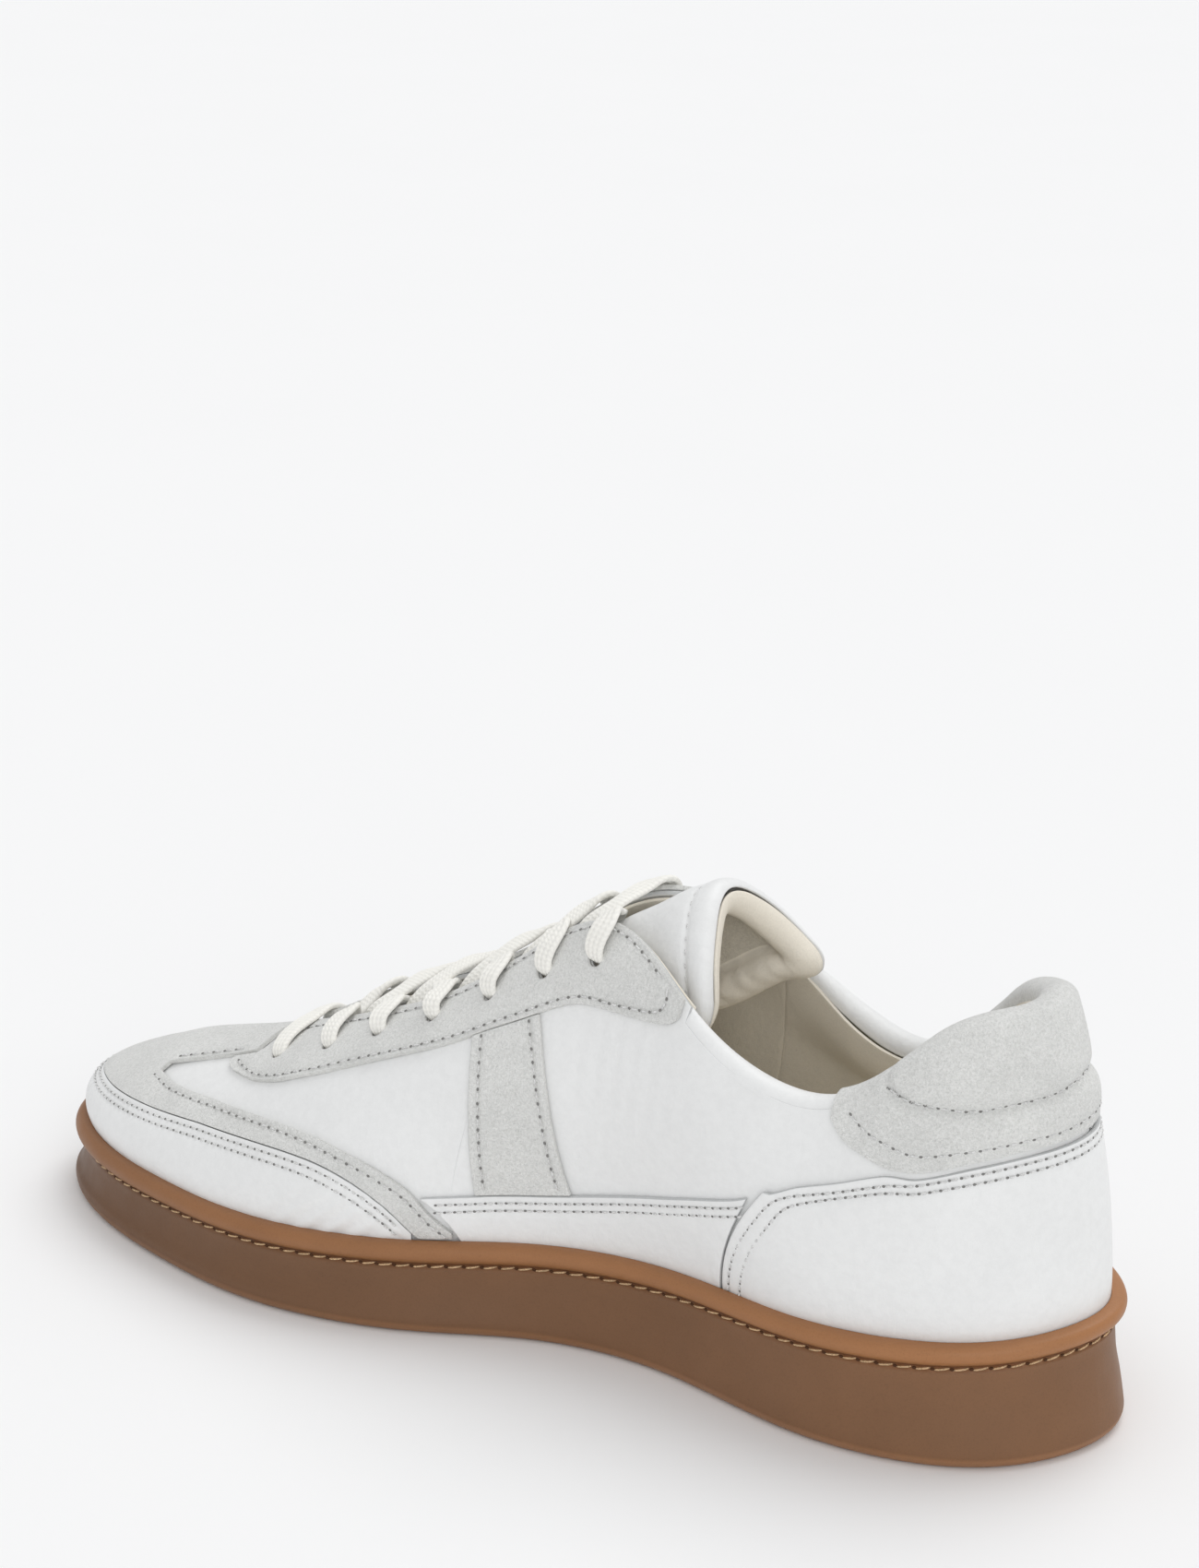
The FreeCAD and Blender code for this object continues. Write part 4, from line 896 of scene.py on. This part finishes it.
def overlays():
    gap = 0.003
    panel("toe_rand", [grid(5.9, TURN - 5.9, -0.1, lambda u: rand_top(u) - gap, 420, 34)],
          False, rand_rows,
          relief=lambda u, v, p: 0.1 + ripple(p, 24.0, 0.3, 2.0) + rand_gathers(u, v, p))
    low = lambda u: rand_top(u) + gap
    first = lambda u: 0.6 + 0.06 * smooth((u - 9.0) / 2.0)
    second = lambda u: 0.66 + 0.06 * smooth((u - 9.0) / 2.0)
    cells = []
    for side in (1, -1):
        cells += [grid(5.6, 9.0, low, band_top, 150, 18, side),
                  grid(9.0, TOE, low, first, 70, 18, side),
                  grid(9.0, TOE, first, second, 70, 6, side),
                  grid(9.0, TOE, second, 1.0, 70, 26, side),
                  grid(8.06, 9.0, stem_edge, 1.0, 40, 26, side)]
    panel("toe_overlay", cells, True, [band_row[1], band_row[-1], stem_rows[1], stem_rows[-1]],
          relief=lambda u, v, p: 0.1 + ripple(p, 15.0, 0.25, 7.0))
    high = lambda u: np.where(u > 8.0, stem_edge(u) - 0.02,
                              1.0 + (stem_edge(8.0) - 1.02) * smooth((u - 7.7) / 0.35))
    for side in (1, -1):
        cells = [grid(4.15, 7.7, eyestay_low, 1.0, 250, 30, side),
                 grid(7.7, 8.24, eyestay_low, high, 36, 30, side)]
        panel("eyestay_" + TAG[side], cells, True, eyestay_rows[side],
              relief=lambda u, v, p: 0.05 + ripple(p, 14.0, 0.3, 4.0), cut_by=cutters)
        a, t = shares(44, 60)
        u = (4.75 + 0.55 * t) * (1 - a) + (5.45 + 0.37 * t) * a
        lo, hi = foxing_top(u) + 0.004, eyestay_low(u) - 0.004
        panel("saddle_panel_" + TAG[side], [(on_side(u, side), lo + (hi - lo) * t)], True,
              saddle_rows[side])
        a, t = shares(110, 18)
        rear = 3.64 - 0.32 * ((0.555 * t) / 0.656) ** 2
        u = rear * (1 - a) + (5.5 + 0.36 * t ** 2.2) * a
        panel("foxing_" + TAG[side], [(on_side(u, side), -0.1 + (foxing_top(u) + 0.1) * t)],
              False, foxing_rows[side])
    a, t = shares(260, 62, -1)
    u = a * (3.62 - 0.32 * t ** 2)
    v = -0.1 + (heel_foxing_top(np.abs(u)) + 0.096) * t
    panel("heel_foxing", [(u % TURN, v)], False, heel_rows,
          relief=lambda u, v, p: ripple(p, 30.0, 0.4, 6.0))


def rand_gathers(u, v, p):
    """Lasting wrinkles where the rand is pulled round the ball."""
    r = np.minimum(u, TURN - u)
    zone = np.exp(-((r - 6.5) / 0.5) ** 2) * (1 - smooth((v - 0.1) / 0.2))
    return 0.25 * zone * np.sin(p[:, 0] * 0.9 + p[:, 2] * 1.1)


# ---------------------------------------------------------------- padded heel collar
def heel_collar():
    low = lambda u: heel_collar_low(np.abs(u))
    nu, nv = 230, 40
    u = np.linspace(-2.9, 2.9, nu)
    v = low(u)[:, None] + (COLLAR_LINE - low(u))[:, None] * np.linspace(0, 1, nv)[None, :]
    uu = (u % TURN)[:, None] * np.ones(nv)
    base = skin(uu, v)
    n = skin_normal(uu, v)
    r = np.abs(u)[:, None]
    div = collar_divide(np.minimum(r, 2.51))
    height = v - div
    upper = np.clip((v - div) / np.maximum(1.02 - div, 0.02), 0, 1)
    lower = np.clip((div - v) / np.maximum(div - low(u)[:, None], 0.02), 0, 1)
    bulge_up = np.sin(np.pi * upper ** 0.6) * 0.9
    bulge_low = np.sin(np.pi * lower ** 0.8) * 1.2
    fade = 1 - smooth((r - 2.25) / 0.5)
    puff = np.where(height > 0, bulge_up, bulge_low) * fade - 0.1
    puff = puff - 0.7 * np.exp(-(height / 0.022) ** 2) * fade
    p = base + n * puff[..., None]
    last = DEPTH_INSIDE + pad(u, 0 * u + COLLAR_LINE)
    roll = fold_points(u % TURN, 0 * u - puff[:, -1], last, FOLD_RISE, 0.98, 17)[:, 1:]
    tab = np.exp(-(u / 0.55) ** 2)
    roll[..., 2] += (0.6 * tab)[:, None] * np.sin(np.linspace(0, math.pi, 16))[None, :]
    p = np.concatenate([p, roll], 1)
    nv = p.shape[1]
    flat = p.reshape(-1, 3)
    out = np.repeat(skin_normal(u % TURN, 0 * u + 0.8), nv, 0)
    flat = flat + out * ripple(flat, 13.0, 0.4, 8.0)[:, None]
    flat = flat - out * 0.3 * near_seams(flat, [collar_low_row[0], divide_row[0]])[:, None]
    mesh = mesh_of("heel_collar", flat, quads(flat, nu, nv, 0, out[(nu // 2) * nv]))
    obj = thickened("heel_collar", mesh, SUEDES, OVERLAY, 0.35)
    link(obj, "shoe", "grey_suede", "heel_collar")
    return obj


# ---------------------------------------------------------------- lining
def lining_depth(u, v):
    """Inner face of the lining: a soft roll under the collar, a hollow, then the wall."""
    r = round_heel(u)
    along = 1 - smooth((r - 3.5) / 1.0)
    roll = np.exp(-((v - 0.83) / 0.15) ** 2) * 1.6 - np.exp(-((v - 0.6) / 0.06) ** 2) * 0.7
    return DEPTH_INSIDE + pad(u, v) + along * roll


def linings():
    for side in (1, -1):
        cells = [grid(0.0, 4.12, -0.1, COLLAR_LINE + 0.01, 130, 60, side)]
        obj = sew_panel("collar_lining_" + TAG[side], cells, lining_depth, LINING, "cream_lining",
                        (CREAM,), swell=0.5, edge=0.2, inward=True)
        cells = [grid(4.12, 5.6, -0.1, 0.995, 50, 60, side)]
        sew_panel("facing_lining_" + TAG[side], cells, lining_depth, LINING, "cream_lining",
                  (CREAM,), swell=0.3, edge=0.2, inward=True)
    cells = []
    for side in (1, -1):
        cells.append(grid(5.62, THROAT, -0.1, 0.995, 50, 36, side))
        cells.append(grid(THROAT, TOE, -0.1, 0.995, 50, 36, side))
    sew_panel("vamp_lining", cells, DEPTH_INSIDE, LINING, "cream_lining", (CREAM,), swell=0.2,
              edge=0.2, inward=True)


def footbed():
    u = np.linspace(0, TURN, 221)[:-1]
    edge = at_depth(u, 0 * u - 0.1, DEPTH_INSIDE + 0.5)
    spine = np.stack([np.clip(edge[:, 0], -105, 105), 0 * u], -1)
    rings = []
    profile = [(0.0, -4.0), (0.0, -1.0), (0.012, -0.25), (0.04, 0.0), (0.1, 0.05), (0.2, -0.1),
               (0.35, -0.3), (0.5, -0.45), (0.65, -0.55), (0.8, -0.6), (0.93, -0.62)]
    for share, drop in profile:
        xy = edge[:, :2] * (1 - share) + spine * share
        z = rim_z(xy[:, 0]) - TUCK + BOARD_THICK + 0.05 + FOOTBED_THICK + drop
        rings.append(np.stack([xy[:, 0], xy[:, 1], z], -1))
    p = np.stack(rings, 1)
    nu, nv = p.shape[:2]
    flat = p.reshape(-1, 3)
    faces = []
    for i in range(nu):
        for j in range(nv - 1):
            a = i * nv + j
            b = ((i + 1) % nu) * nv + j
            faces.append((a, b, b + 1, a + 1))
    faces.append(tuple(i * nv + nv - 1 for i in range(nu)))
    faces.append(tuple(i * nv for i in range(nu))[::-1])
    flat = flat + np.array([0, 0, 1.0]) * ripple(flat, 20, 0.25, 1.0)[:, None]
    mesh = mesh_of("footbed", flat, faces)
    bm = bmesh.new()
    bm.from_mesh(mesh)
    bmesh.ops.triangulate(bm, faces=[f for f in bm.faces if len(f.verts) > 4])
    bmesh.ops.recalc_face_normals(bm, faces=bm.faces)
    bm.to_mesh(mesh)
    bm.free()
    mesh.materials.append(CREAM)
    mesh.shade_smooth()
    return link(bpy.data.objects.new("footbed_cover", mesh), "shoe", "cream_lining", "footbed")


# ---------------------------------------------------------------- tongue
def tongue_table(r):
    """Tongue sizes at any row, on a smooth curve through the listed rows."""
    rows = np.arange(len(TONGUE), dtype=float)
    return np.stack([line(list(zip(rows, TONGUE[:, k])))(r) for k in range(TONGUE.shape[1])], -1)


def tongue_at(r, q, depth):
    r, q, depth = np.broadcast_arrays(np.asarray(r, float), np.asarray(q, float),
                                      np.asarray(depth, float))
    t = tongue_table(r)
    ahead = tongue_table(np.clip(r - 0.5, 0, 8))
    behind = tongue_table(np.clip(r + 0.5, 0, 8))
    d = behind[..., :2] - ahead[..., :2]
    slope = unit(np.stack([d[..., 0], 0 * r, d[..., 1]], -1))
    up = np.stack([-slope[..., 2], 0 * r, slope[..., 0]], -1)
    up = np.where(up[..., 2:3] < 0, -up, up)
    angle = np.radians(t[..., 4]) * q
    s, c = np.sin(angle)[..., None], np.cos(angle)[..., None]
    half, arch, trail = t[..., 2:3], t[..., 3:4], t[..., 5:6]
    side = np.array([0, 1.0, 0])
    out = unit(side * s / half + up * c / arch)
    crest = np.stack([t[..., 0], 0 * r, t[..., 1]], -1)
    lag = trail * (1 - q[..., None]) / 2 + 7 * t[..., 6:7] * (1 + q[..., None]) / 2
    p = crest + side * half * s - up * arch * (1 - c) - slope * lag * (1 - c)
    return p - out * depth[..., None], out


def tongue_grid():
    """Rows down from the top edge, with the two top corners rounded."""
    length = 150.0
    down = np.concatenate([CORNER * (1 - np.cos(np.linspace(0, math.pi / 2, 26))),
                           np.linspace(CORNER, length, 112)[1:]])
    fine_r = np.linspace(8, 0, 400)
    crest = tongue_at(fine_r, 0.0, 0.0)[0]
    run = run_along(crest)
    down = down[down < run[-1]]
    r = np.interp(down, run, fine_r)
    q_fine = np.linspace(0, 1, 90)
    width = np.array([run_along(tongue_at(k, q_fine, 0.0)[0])[-1] for k in r])
    round_off = CORNER - np.sqrt(np.maximum(CORNER ** 2 - (CORNER - down) ** 2, 0))
    inset = np.where(down < CORNER, round_off, 0)
    q = np.sin(np.linspace(-math.pi / 2, math.pi / 2, 101))
    q = 0.5 * q + 0.5 * np.linspace(-1, 1, 101)
    across = q[None, :] * (width - inset)[:, None]
    qq = across / width[:, None]
    rr = r[:, None] * np.ones(101)
    side = width[:, None] - np.abs(across)
    depth_top = down[:, None] * np.ones(101)
    corner = (side < CORNER) & (depth_top < CORNER)
    from_corner = CORNER - np.hypot(CORNER - side, CORNER - depth_top)
    edge = np.where(corner, np.maximum(from_corner, 0), np.minimum(side, depth_top))
    return rr, qq, edge, depth_top


def border_gathers(edge, down):
    """Puckers in the rolled border where it turns the corner."""
    zone = np.exp(-((down - 30) / 16) ** 2) * np.exp(-((edge - 5.0) / 4.5) ** 2)
    wave = np.sin(down * 1.25 + 0.6 * np.sin(edge)) + 0.5 * np.sin(down * 2.9 + 1.0)
    return zone * wave * 0.35


def tongue():
    rr, qq, edge, down = tongue_grid()
    share = np.clip(tongue_table(rr)[..., 6], 0, 1)
    pad_thick = 3.2 + 4.4 * share
    shape = rr.shape
    lip = 2.4
    outer = np.where(edge < lip, lip - np.sqrt(np.maximum(lip ** 2 - (lip - edge) ** 2, 0)), 0.0)
    outer = outer * np.minimum(1.0, pad_thick / 5.0)
    p, n = tongue_at(rr, qq, outer)
    swell = 0.55 * np.exp(-((edge - 3.4) / 2.6) ** 2) * share
    lift = swell.ravel() + ripple(p.reshape(-1, 3), 14.0, 0.5, 2.2)
    seam_spots = tongue_seam()
    flat = p.reshape(-1, 3) + n.reshape(-1, 3) * lift[:, None]
    flat = flat - n.reshape(-1, 3) * 0.55 * near_seams(flat, [seam_spots[0]])[:, None]
    cover = tongue_sheet("tongue_cover", flat, n.reshape(-1, 3), shape, 0.9, LEATHERS)
    link(cover, "tongue", "white_leather", "tongue_cover")
    border = TONGUE_BORDER
    t = np.clip(edge / border, 0, 1)
    roll = np.sqrt(np.maximum(1 - (2 * t - 1) ** 2, 0))
    centre_depth = 3.0 + 0.35 * smooth((edge - border) / 6.0)
    inner = np.where(edge < border, 3.1 + (pad_thick - 2.7) * roll * share ** 0.5, centre_depth)
    ease = np.exp(-((edge - border) / 0.9) ** 2) * 0.5 * share
    inner = inner - ease
    inner = np.minimum(inner, pad_thick + 0.4)
    p, n = tongue_at(rr, qq, inner + border_gathers(edge, down) * share)
    flat = p.reshape(-1, 3)
    flat = flat - n.reshape(-1, 3) * ripple(flat, 11.0, 0.5, 5.5)[:, None]
    lining = tongue_sheet("tongue_lining", flat, -n.reshape(-1, 3), shape, 0.8,
                          (CREAM, CREAM_SUEDE))
    inside = (edge > border + 0.2)[:-1, :-1] & (edge > border + 0.2)[1:, 1:]
    kinds = np.zeros(len(lining.data.polygons), np.int32)
    kinds[:inside.size] = inside.ravel()
    lining.data.polygons.foreach_set("material_index", kinds)
    link(lining, "tongue", "cream_lining", "tongue_lining", "tongue_foam")
    return cover


def tongue_seam():
    """A line sewn at a fixed distance inside the tongue's outline."""
    rr, qq, edge, _ = tongue_grid()
    spots = [(rr[k, 0], np.interp(TONGUE_SEAM, edge[k, :51], qq[k, :51]))
             for k in range(rr.shape[0]) if edge[k].max() > TONGUE_SEAM][:70]
    top, reach = spots[0]
    across_top = [(top, q) for q in np.linspace(reach, -reach, 28)[1:-1]]
    path = np.array(spots[::-1] + across_top + [(r, -q) for r, q in spots])
    p, n = tongue_at(path[:, 0], path[:, 1], 0.0)
    return even(p, n, 0.3)


def tongue_sheet(name, flat, n, shape, thick, materials):
    nu, nv = shape
    faces = quads(flat, nu, nv, nv // 2, n[(nu // 2) * nv + nv // 2])
    return thickened(name, mesh_of(name, flat, faces), materials, thick, rim=0)


# ---------------------------------------------------------------- lace
def edge_spot(index, side, depth, v=1.0):
    u = np.array(float(on_side(EYELETS[index][0], side)))
    return skin(u, np.array(v)) - skin_normal(u, np.array(0.97)) * depth


def crest_height(x):
    return float(line([(-t[0], t[1]) for t in TONGUE])(-x))


def mix(a, b, t):
    return a + (b - a) * t


def vec(x, y, z):
    return np.array([x, y, z], float)


def lace_run(index, side, over):
    under = DEPTH_INSIDE + LACE_THICK / 2 + 0.15
    above = -LACE_THICK / 2 - 0.35
    low, n = hole_spot(index, side, under)
    out = [(low, 0.72, n), (edge_spot(index, side, under + 0.3, 0.97), 0.9, n)]
    far_n = hole_spot(index + 1, -side, 0.0)[1]
    a = edge_spot(index, side, under)
    b = edge_spot(index + 1, -side, above)
    crest = crest_height((a[0] + b[0]) / 2) + (5.0 if over else 2.7)
    out.append((vec(mix(a[0], b[0], 0.22), side * THROAT_RISE * abs(a[1]),
                    mix(a[2], crest, 0.5) + 0.3), 1.0, vec(0, side * 0.45, 1)))
    middle = vec((a[0] + b[0]) / 2, 0, crest)
    out.append((middle, 1.0, vec(0.3, 0, 1)))
    out.append((mix(middle, b, 0.6) + vec(0, 0, 0.9), 1.0, vec(0, -side * 0.3, 1)))
    out.append((b + far_n * 0.3, 1.0, far_n))
    end, n = hole_spot(index + 1, -side, above)
    out.append((mix(b, end, 0.66) + n * 0.9, 0.95, n))
    return out + hole_pass(index + 1, -side)


def hole_pass(index, side):
    p, n = hole_spot(index, side, 0.0)
    inner = unit(edge_spot(index, side, 0.0) - p)
    return [(p - n * 0.3 + inner * 0.2, 0.74, n * 0.3 - inner),
            (p - n * 2.4, 0.46, -inner), (p - n * 3.9, 0.5, -inner - n * 0.2)]


def tucked_run(side):
    spots = []
    for u, v in TUCKED:
        u, v = np.array(float(on_side(u, side))), np.array(float(v))
        n = skin_normal(u, v)
        spots.append((skin(u, v) - n * (DEPTH_INSIDE + LACE_THICK / 2 + 0.45), 0.9, n))
    return spots


def lace_route():
    pairs = len(EYELETS)
    first, second, bar = [], [], []
    for i in range(pairs - 1):
        first += lace_run(i, 1 if i % 2 == 0 else -1, i % 2 == 0)
        second += lace_run(i, -1 if i % 2 == 0 else 1, i % 2 == 1)
    top = -LACE_THICK / 2 - 0.15
    for side in (-1, 1):
        p, n = hole_spot(0, side, top)
        e = edge_spot(0, side, top - 0.2)
        spots = [(mix(p, e, 0.36) + n * 0.8, 0.95, n), (e, 1.0, n)]
        bar += hole_pass(0, side)[::-1] + spots if side < 0 else spots[::-1] + hole_pass(0, side)
    second += tucked_run(1 if pairs % 2 == 0 else -1)
    first += tucked_run(-1 if pairs % 2 == 0 else 1)
    return second[::-1] + bar + first


def through(points, per=10):
    """Dense samples of a smooth curve through points of any dimension."""
    p = np.array(points, float)
    n = len(p)
    t = np.concatenate([[0], np.cumsum(np.sqrt(np.linalg.norm(np.diff(p[:, :3], axis=0), axis=1)))])
    h = np.diff(t)
    a = np.zeros((n, n))
    rhs = np.zeros_like(p)
    a[0, 0] = a[-1, -1] = 1.0
    for i in range(1, n - 1):
        a[i, i - 1:i + 2] = h[i - 1], 2 * (h[i - 1] + h[i]), h[i]
        rhs[i] = 6 * ((p[i + 1] - p[i]) / h[i] - (p[i] - p[i - 1]) / h[i - 1])
    m = np.linalg.solve(a, rhs)
    out = []
    for i in range(n - 1):
        for s in np.linspace(0, 1, per, endpoint=False):
            x = s * h[i]
            y = h[i] - x
            out.append(m[i] * y ** 3 / (6 * h[i]) + m[i + 1] * x ** 3 / (6 * h[i])
                       + (p[i] / h[i] - m[i] * h[i] / 6) * y
                       + (p[i + 1] / h[i] - m[i + 1] * h[i] / 6) * x)
    out.append(p[-1])
    return np.array(out)


def ribbon(name, centre, share, normal, width, thick):
    """Flat woven lace with four ribs along each face."""
    run = unit(np.gradient(centre, axis=0))
    across = unit(np.cross(run, normal))
    for k in range(1, len(across)):
        if np.dot(across[k], across[k - 1]) < 0:
            across[k] = -across[k]
    for _ in range(6):
        across[1:-1] = unit(across[:-2] + 2 * across[1:-1] + across[2:])
    across = unit(across - run * (across * run).sum(-1, keepdims=True))
    up = unit(np.cross(across, run))
    ribs = 4
    face = np.linspace(0, 1, ribs * 5 + 1)
    profile = []
    for sign, along in ((1, face), (-1, face[1:-1][::-1])):
        for s in along:
            x = 2 * s - 1
            h = (1 - abs(x) ** 5) ** 0.5 * (0.64 + 0.36 * abs(math.sin(ribs * math.pi * s)))
            profile.append((x, sign * h, s))
    length = run_along(centre)
    points = []
    sides = len(profile)
    for c, w, a, b in zip(centre, share, across, up):
        wide = width * w / 2
        tall = thick / 2 * (1 + 0.35 * (1 - w))
        cup = 0.25 * (1 - w) * wide
        for x, h, s in profile:
            points.append(c + a * wide * x + b * (tall * h + cup * (x * x - 0.3)))
    mesh = mesh_of(name, np.array(points), tube_faces(len(centre), sides))
    layer = mesh.uv_layers.new(name="UVMap")
    loops = np.zeros(len(mesh.loops), np.int64)
    mesh.loops.foreach_get("vertex_index", loops)
    row, col = loops // sides, loops % sides
    coords = np.stack([length[row], np.array([s * ribs for x, h, s in profile])[col]], -1)
    layer.data.foreach_set("uv", coords.astype(np.float32).ravel())
    bm = bmesh.new()
    bm.from_mesh(mesh)
    bmesh.ops.recalc_face_normals(bm, faces=bm.faces)
    bm.to_mesh(mesh)
    bm.free()
    mesh.materials.append(COTTON)
    mesh.shade_smooth()
    return link(bpy.data.objects.new(name, mesh), "shoe", "cotton_lace", name)


def lace():
    rows = [list(p) + [w] + list(unit(n)) for p, w, n in lace_route()]
    dense = through(rows, 9)
    return ribbon("lace", dense[:, :3], np.clip(dense[:, 3], 0.4, 1.05), unit(dense[:, 4:7]),
                  LACE_WIDTH, LACE_THICK)


# ---------------------------------------------------------------- free lace ends
LACE_END_RUN = {1: [(-14.0, 18.0, 3.6), (20.0, 12.0, 2.6), (52.0, 22.0, 2.6),
                    (80.0, 12.0, 2.6), (98.0, 9.0, 2.6)],
                -1: [(-22.0, -24.0, 3.6), (12.0, -30.0, 2.6), (46.0, -26.0, 2.6),
                     (78.0, -30.0, 2.6), (98.0, -23.0, 2.6)]}


def end_points(side):
    u, v = TUCKED[-1]
    u = np.array(float(on_side(u, side)))
    v = np.array(v - 0.03)
    start = skin(u, v) - skin_normal(u, v) * (DEPTH_INSIDE + 2.0)
    out = [start]
    for x, y, lift in LACE_END_RUN[side]:
        out.append(vec(x, y, float(rim_z(np.array(x))) + FOOTBED_THICK - TUCK + BOARD_THICK + lift))
    return np.array(out)


def lace_end(side):
    tag = TAG[side]
    points = world(end_points(side))
    curve = bpy.data.curves.new("lace_end_" + tag, "CURVE")
    curve.dimensions = "3D"
    spline = curve.splines.new("NURBS")
    spline.points.add(len(points) - 1)
    for spot, p in zip(spline.points, points):
        spot.co = (*p, 1.0)
    spline.order_u = 3
    spline.use_endpoint_u = True
    spline.resolution_u = 14
    curve.bevel_depth = LACE_END_RADIUS * MM
    curve.bevel_resolution = 5
    curve.use_fill_caps = True
    curve.materials.append(COTTON_ROUND)
    obj = link(bpy.data.objects.new("lace_end_" + tag, curve), "shoe", "cotton_lace",
               "lace_end_" + tag)
    tip = aglet(tag, points[-2], points[-1])
    return obj


def aglet(tag, before, tip):
    """Clear tape wound round the lace tip, pinched at its open end."""
    run = unit(np.array(tip - before))
    side = unit(np.cross(run, [0, 0, 1.0]))
    up = np.cross(side, run)
    rows = [(0.15, 1.7), (0.2, 2.0), (0.8, 2.1), (3.0, 2.08), (9.0, 2.02), (15.0, 2.0), (19.0, 1.9),
            (19.9, 1.7), (20.1, 1.2), (19.6, 1.05)]
    points = []
    sides = 24
    for s, radius in rows:
        for k in range(sides):
            a = 2 * math.pi * k / sides
            seam = 1.0 + 0.04 * math.exp(-((a - 1.2) / 0.25) ** 2)
            spoke = side * math.cos(a) + up * math.sin(a)
            points.append(tip / MM + run * s + spoke * radius * seam)
    mesh = mesh_of("aglet_" + tag, np.array(points) - SHIFT, tube_faces(len(rows), sides))
    mesh.materials.append(FILM)
    mesh.shade_smooth()
    return link(bpy.data.objects.new("aglet_tape_" + tag, mesh), "shoe", "aglet_film",
                "aglet_" + tag)


COTTON_ROUND = plain("cotton_lace_end", (0.86, 0.845, 0.78, 1), 0.85, 0.98, 1300, 0.0004)
for side in (1, -1):
    lace_end(side)


# ---------------------------------------------------------------- everything
def sole_stitches():
    sewing = Sewing()
    u = np.linspace(0, TURN, 1500)
    out = sole_out(u)
    p = guide(0, u) - out * 2.35
    p = np.stack([p[:, 0], p[:, 1], groove_z(p[:, 0]) - 0.15], -1)
    path = even(p, out, 0.3)
    sewing.row(path, pitch=4.4, share=0.8, radius=0.27, lift=0.05, hole_shade=0.42, slant=0.25)
    return sewing.object("groove_stitches", (TAN, GUM_HOLE_SHADE), "sole_thread",
                         nodes=("sidewall_stitching",))


def laid_on(obj, row):
    """A sewing row moved along its normals onto the modelled surface."""
    mesh = obj.data
    tree = BVHTree.FromPolygons([v.co for v in mesh.vertices], [f.vertices for f in mesh.polygons])
    spots, normals = row
    found = []
    for spot, normal, start in zip(spots, normals, world(spots + normals * 6.0)):
        hit = tree.ray_cast(Vector(start), Vector(-normal), 0.012)[0]
        found.append(spot if hit is None else np.array(hit) / MM - SHIFT)
    found = np.array(found)
    for _ in range(3):
        found[1:-1] = (found[:-2] + 2 * found[1:-1] + found[2:]) / 4
    return found, normals


def upper_stitches(collar, cover):
    light = Sewing()
    for row in rand_rows + foxing_rows[1] + foxing_rows[-1] + heel_rows:
        light.row(row, pitch=2.55, share=0.58, radius=0.26, lift=0.14, hole_shade=0.31)
    light.object("leather_stitches", (SEWN, HOLE_SHADE), "white_leather")
    grey = Sewing()
    rows = [band_row[1], band_row[-1], stem_rows[1], stem_rows[-1],
            laid_on(collar, collar_low_row), laid_on(collar, divide_row)]
    for s in (1, -1):
        rows += eyestay_rows[s] + saddle_rows[s]
    for row in rows:
        p, n = row
        grey.row((p + n * 0.1, n), pitch=3.2, share=0.56, radius=0.24, lift=0.08, hole_shade=0.34)
    grey.object("suede_stitches", (SEWN, HOLE_SHADE), "grey_suede")
    tip = Sewing()
    row = laid_on(cover, tongue_seam())
    tip.row(row, pitch=3.2, share=0.6, radius=0.24, lift=0.12, hole_shade=0.3)
    tip.object("tongue_stitches", (SEWN, HOLE_SHADE), "white_leather", body="tongue")


upper_base()
overlays()
collar = heel_collar()
linings()
footbed()
cover = tongue()
lace()
sole_stitches()
upper_stitches(collar, cover)
bpy.data.objects.remove(cutters)

FINISH = {"cupsole": GUM, "midsole_filler": FOAM, "strobel_board": BOARD, "toe_puff": STIFF,
          "heel_counter": STIFF, "collar_foam": PADDING,
          "interlining_medial": CLOTH, "interlining_lateral": CLOTH}
for name, material in FINISH.items():
    node = frame["nodes"][name]
    node.data.materials.clear()
    node.data.materials.append(material)
frame["nodes"]["cupsole"].data.shade_smooth()


# ---------------------------------------------------------------- floor and light
def floor():
    m = Nodes("floor")
    tone = m.value_ramp(m.noise(6, 2.0), [(0.0, 0.925), (1.0, 0.935)])
    m.finish(tone, 0.9, None, Specular_IOR_Level=0.1)
    mesh = bpy.data.meshes.new("floor")
    s = 15.0
    mesh.from_pydata([(-s, -s, 0), (s, -s, 0), (s, s, 0), (-s, s, 0)], [], [(0, 1, 2, 3)])
    mesh.materials.append(m.material)
    obj = bpy.data.objects.new("floor", mesh)
    bpy.context.scene.collection.objects.link(obj)


def sun(name, direction, strength, spread):
    light = bpy.data.lights.new(name, "SUN")
    light.energy = strength
    light.angle = math.radians(spread)
    obj = bpy.data.objects.new(name, light)
    obj.rotation_euler = Vector(direction).to_track_quat("Z", "Y").to_euler()
    bpy.context.scene.collection.objects.link(obj)


floor()
sun("key", (-0.1, -0.62, 1.25), 0.92, 40)
sun("fill", (-0.9, 1.0, 0.75), 0.58, 45)
sky = bpy.data.worlds.new("sky")
sky.use_nodes = True
sky.node_tree.nodes["Background"].inputs[0].default_value = (0.985, 0.99, 1.0, 1)
sky.node_tree.nodes["Background"].inputs[1].default_value = 0.66
bpy.context.scene.world = sky
bpy.context.scene.view_settings.view_transform = "Standard"
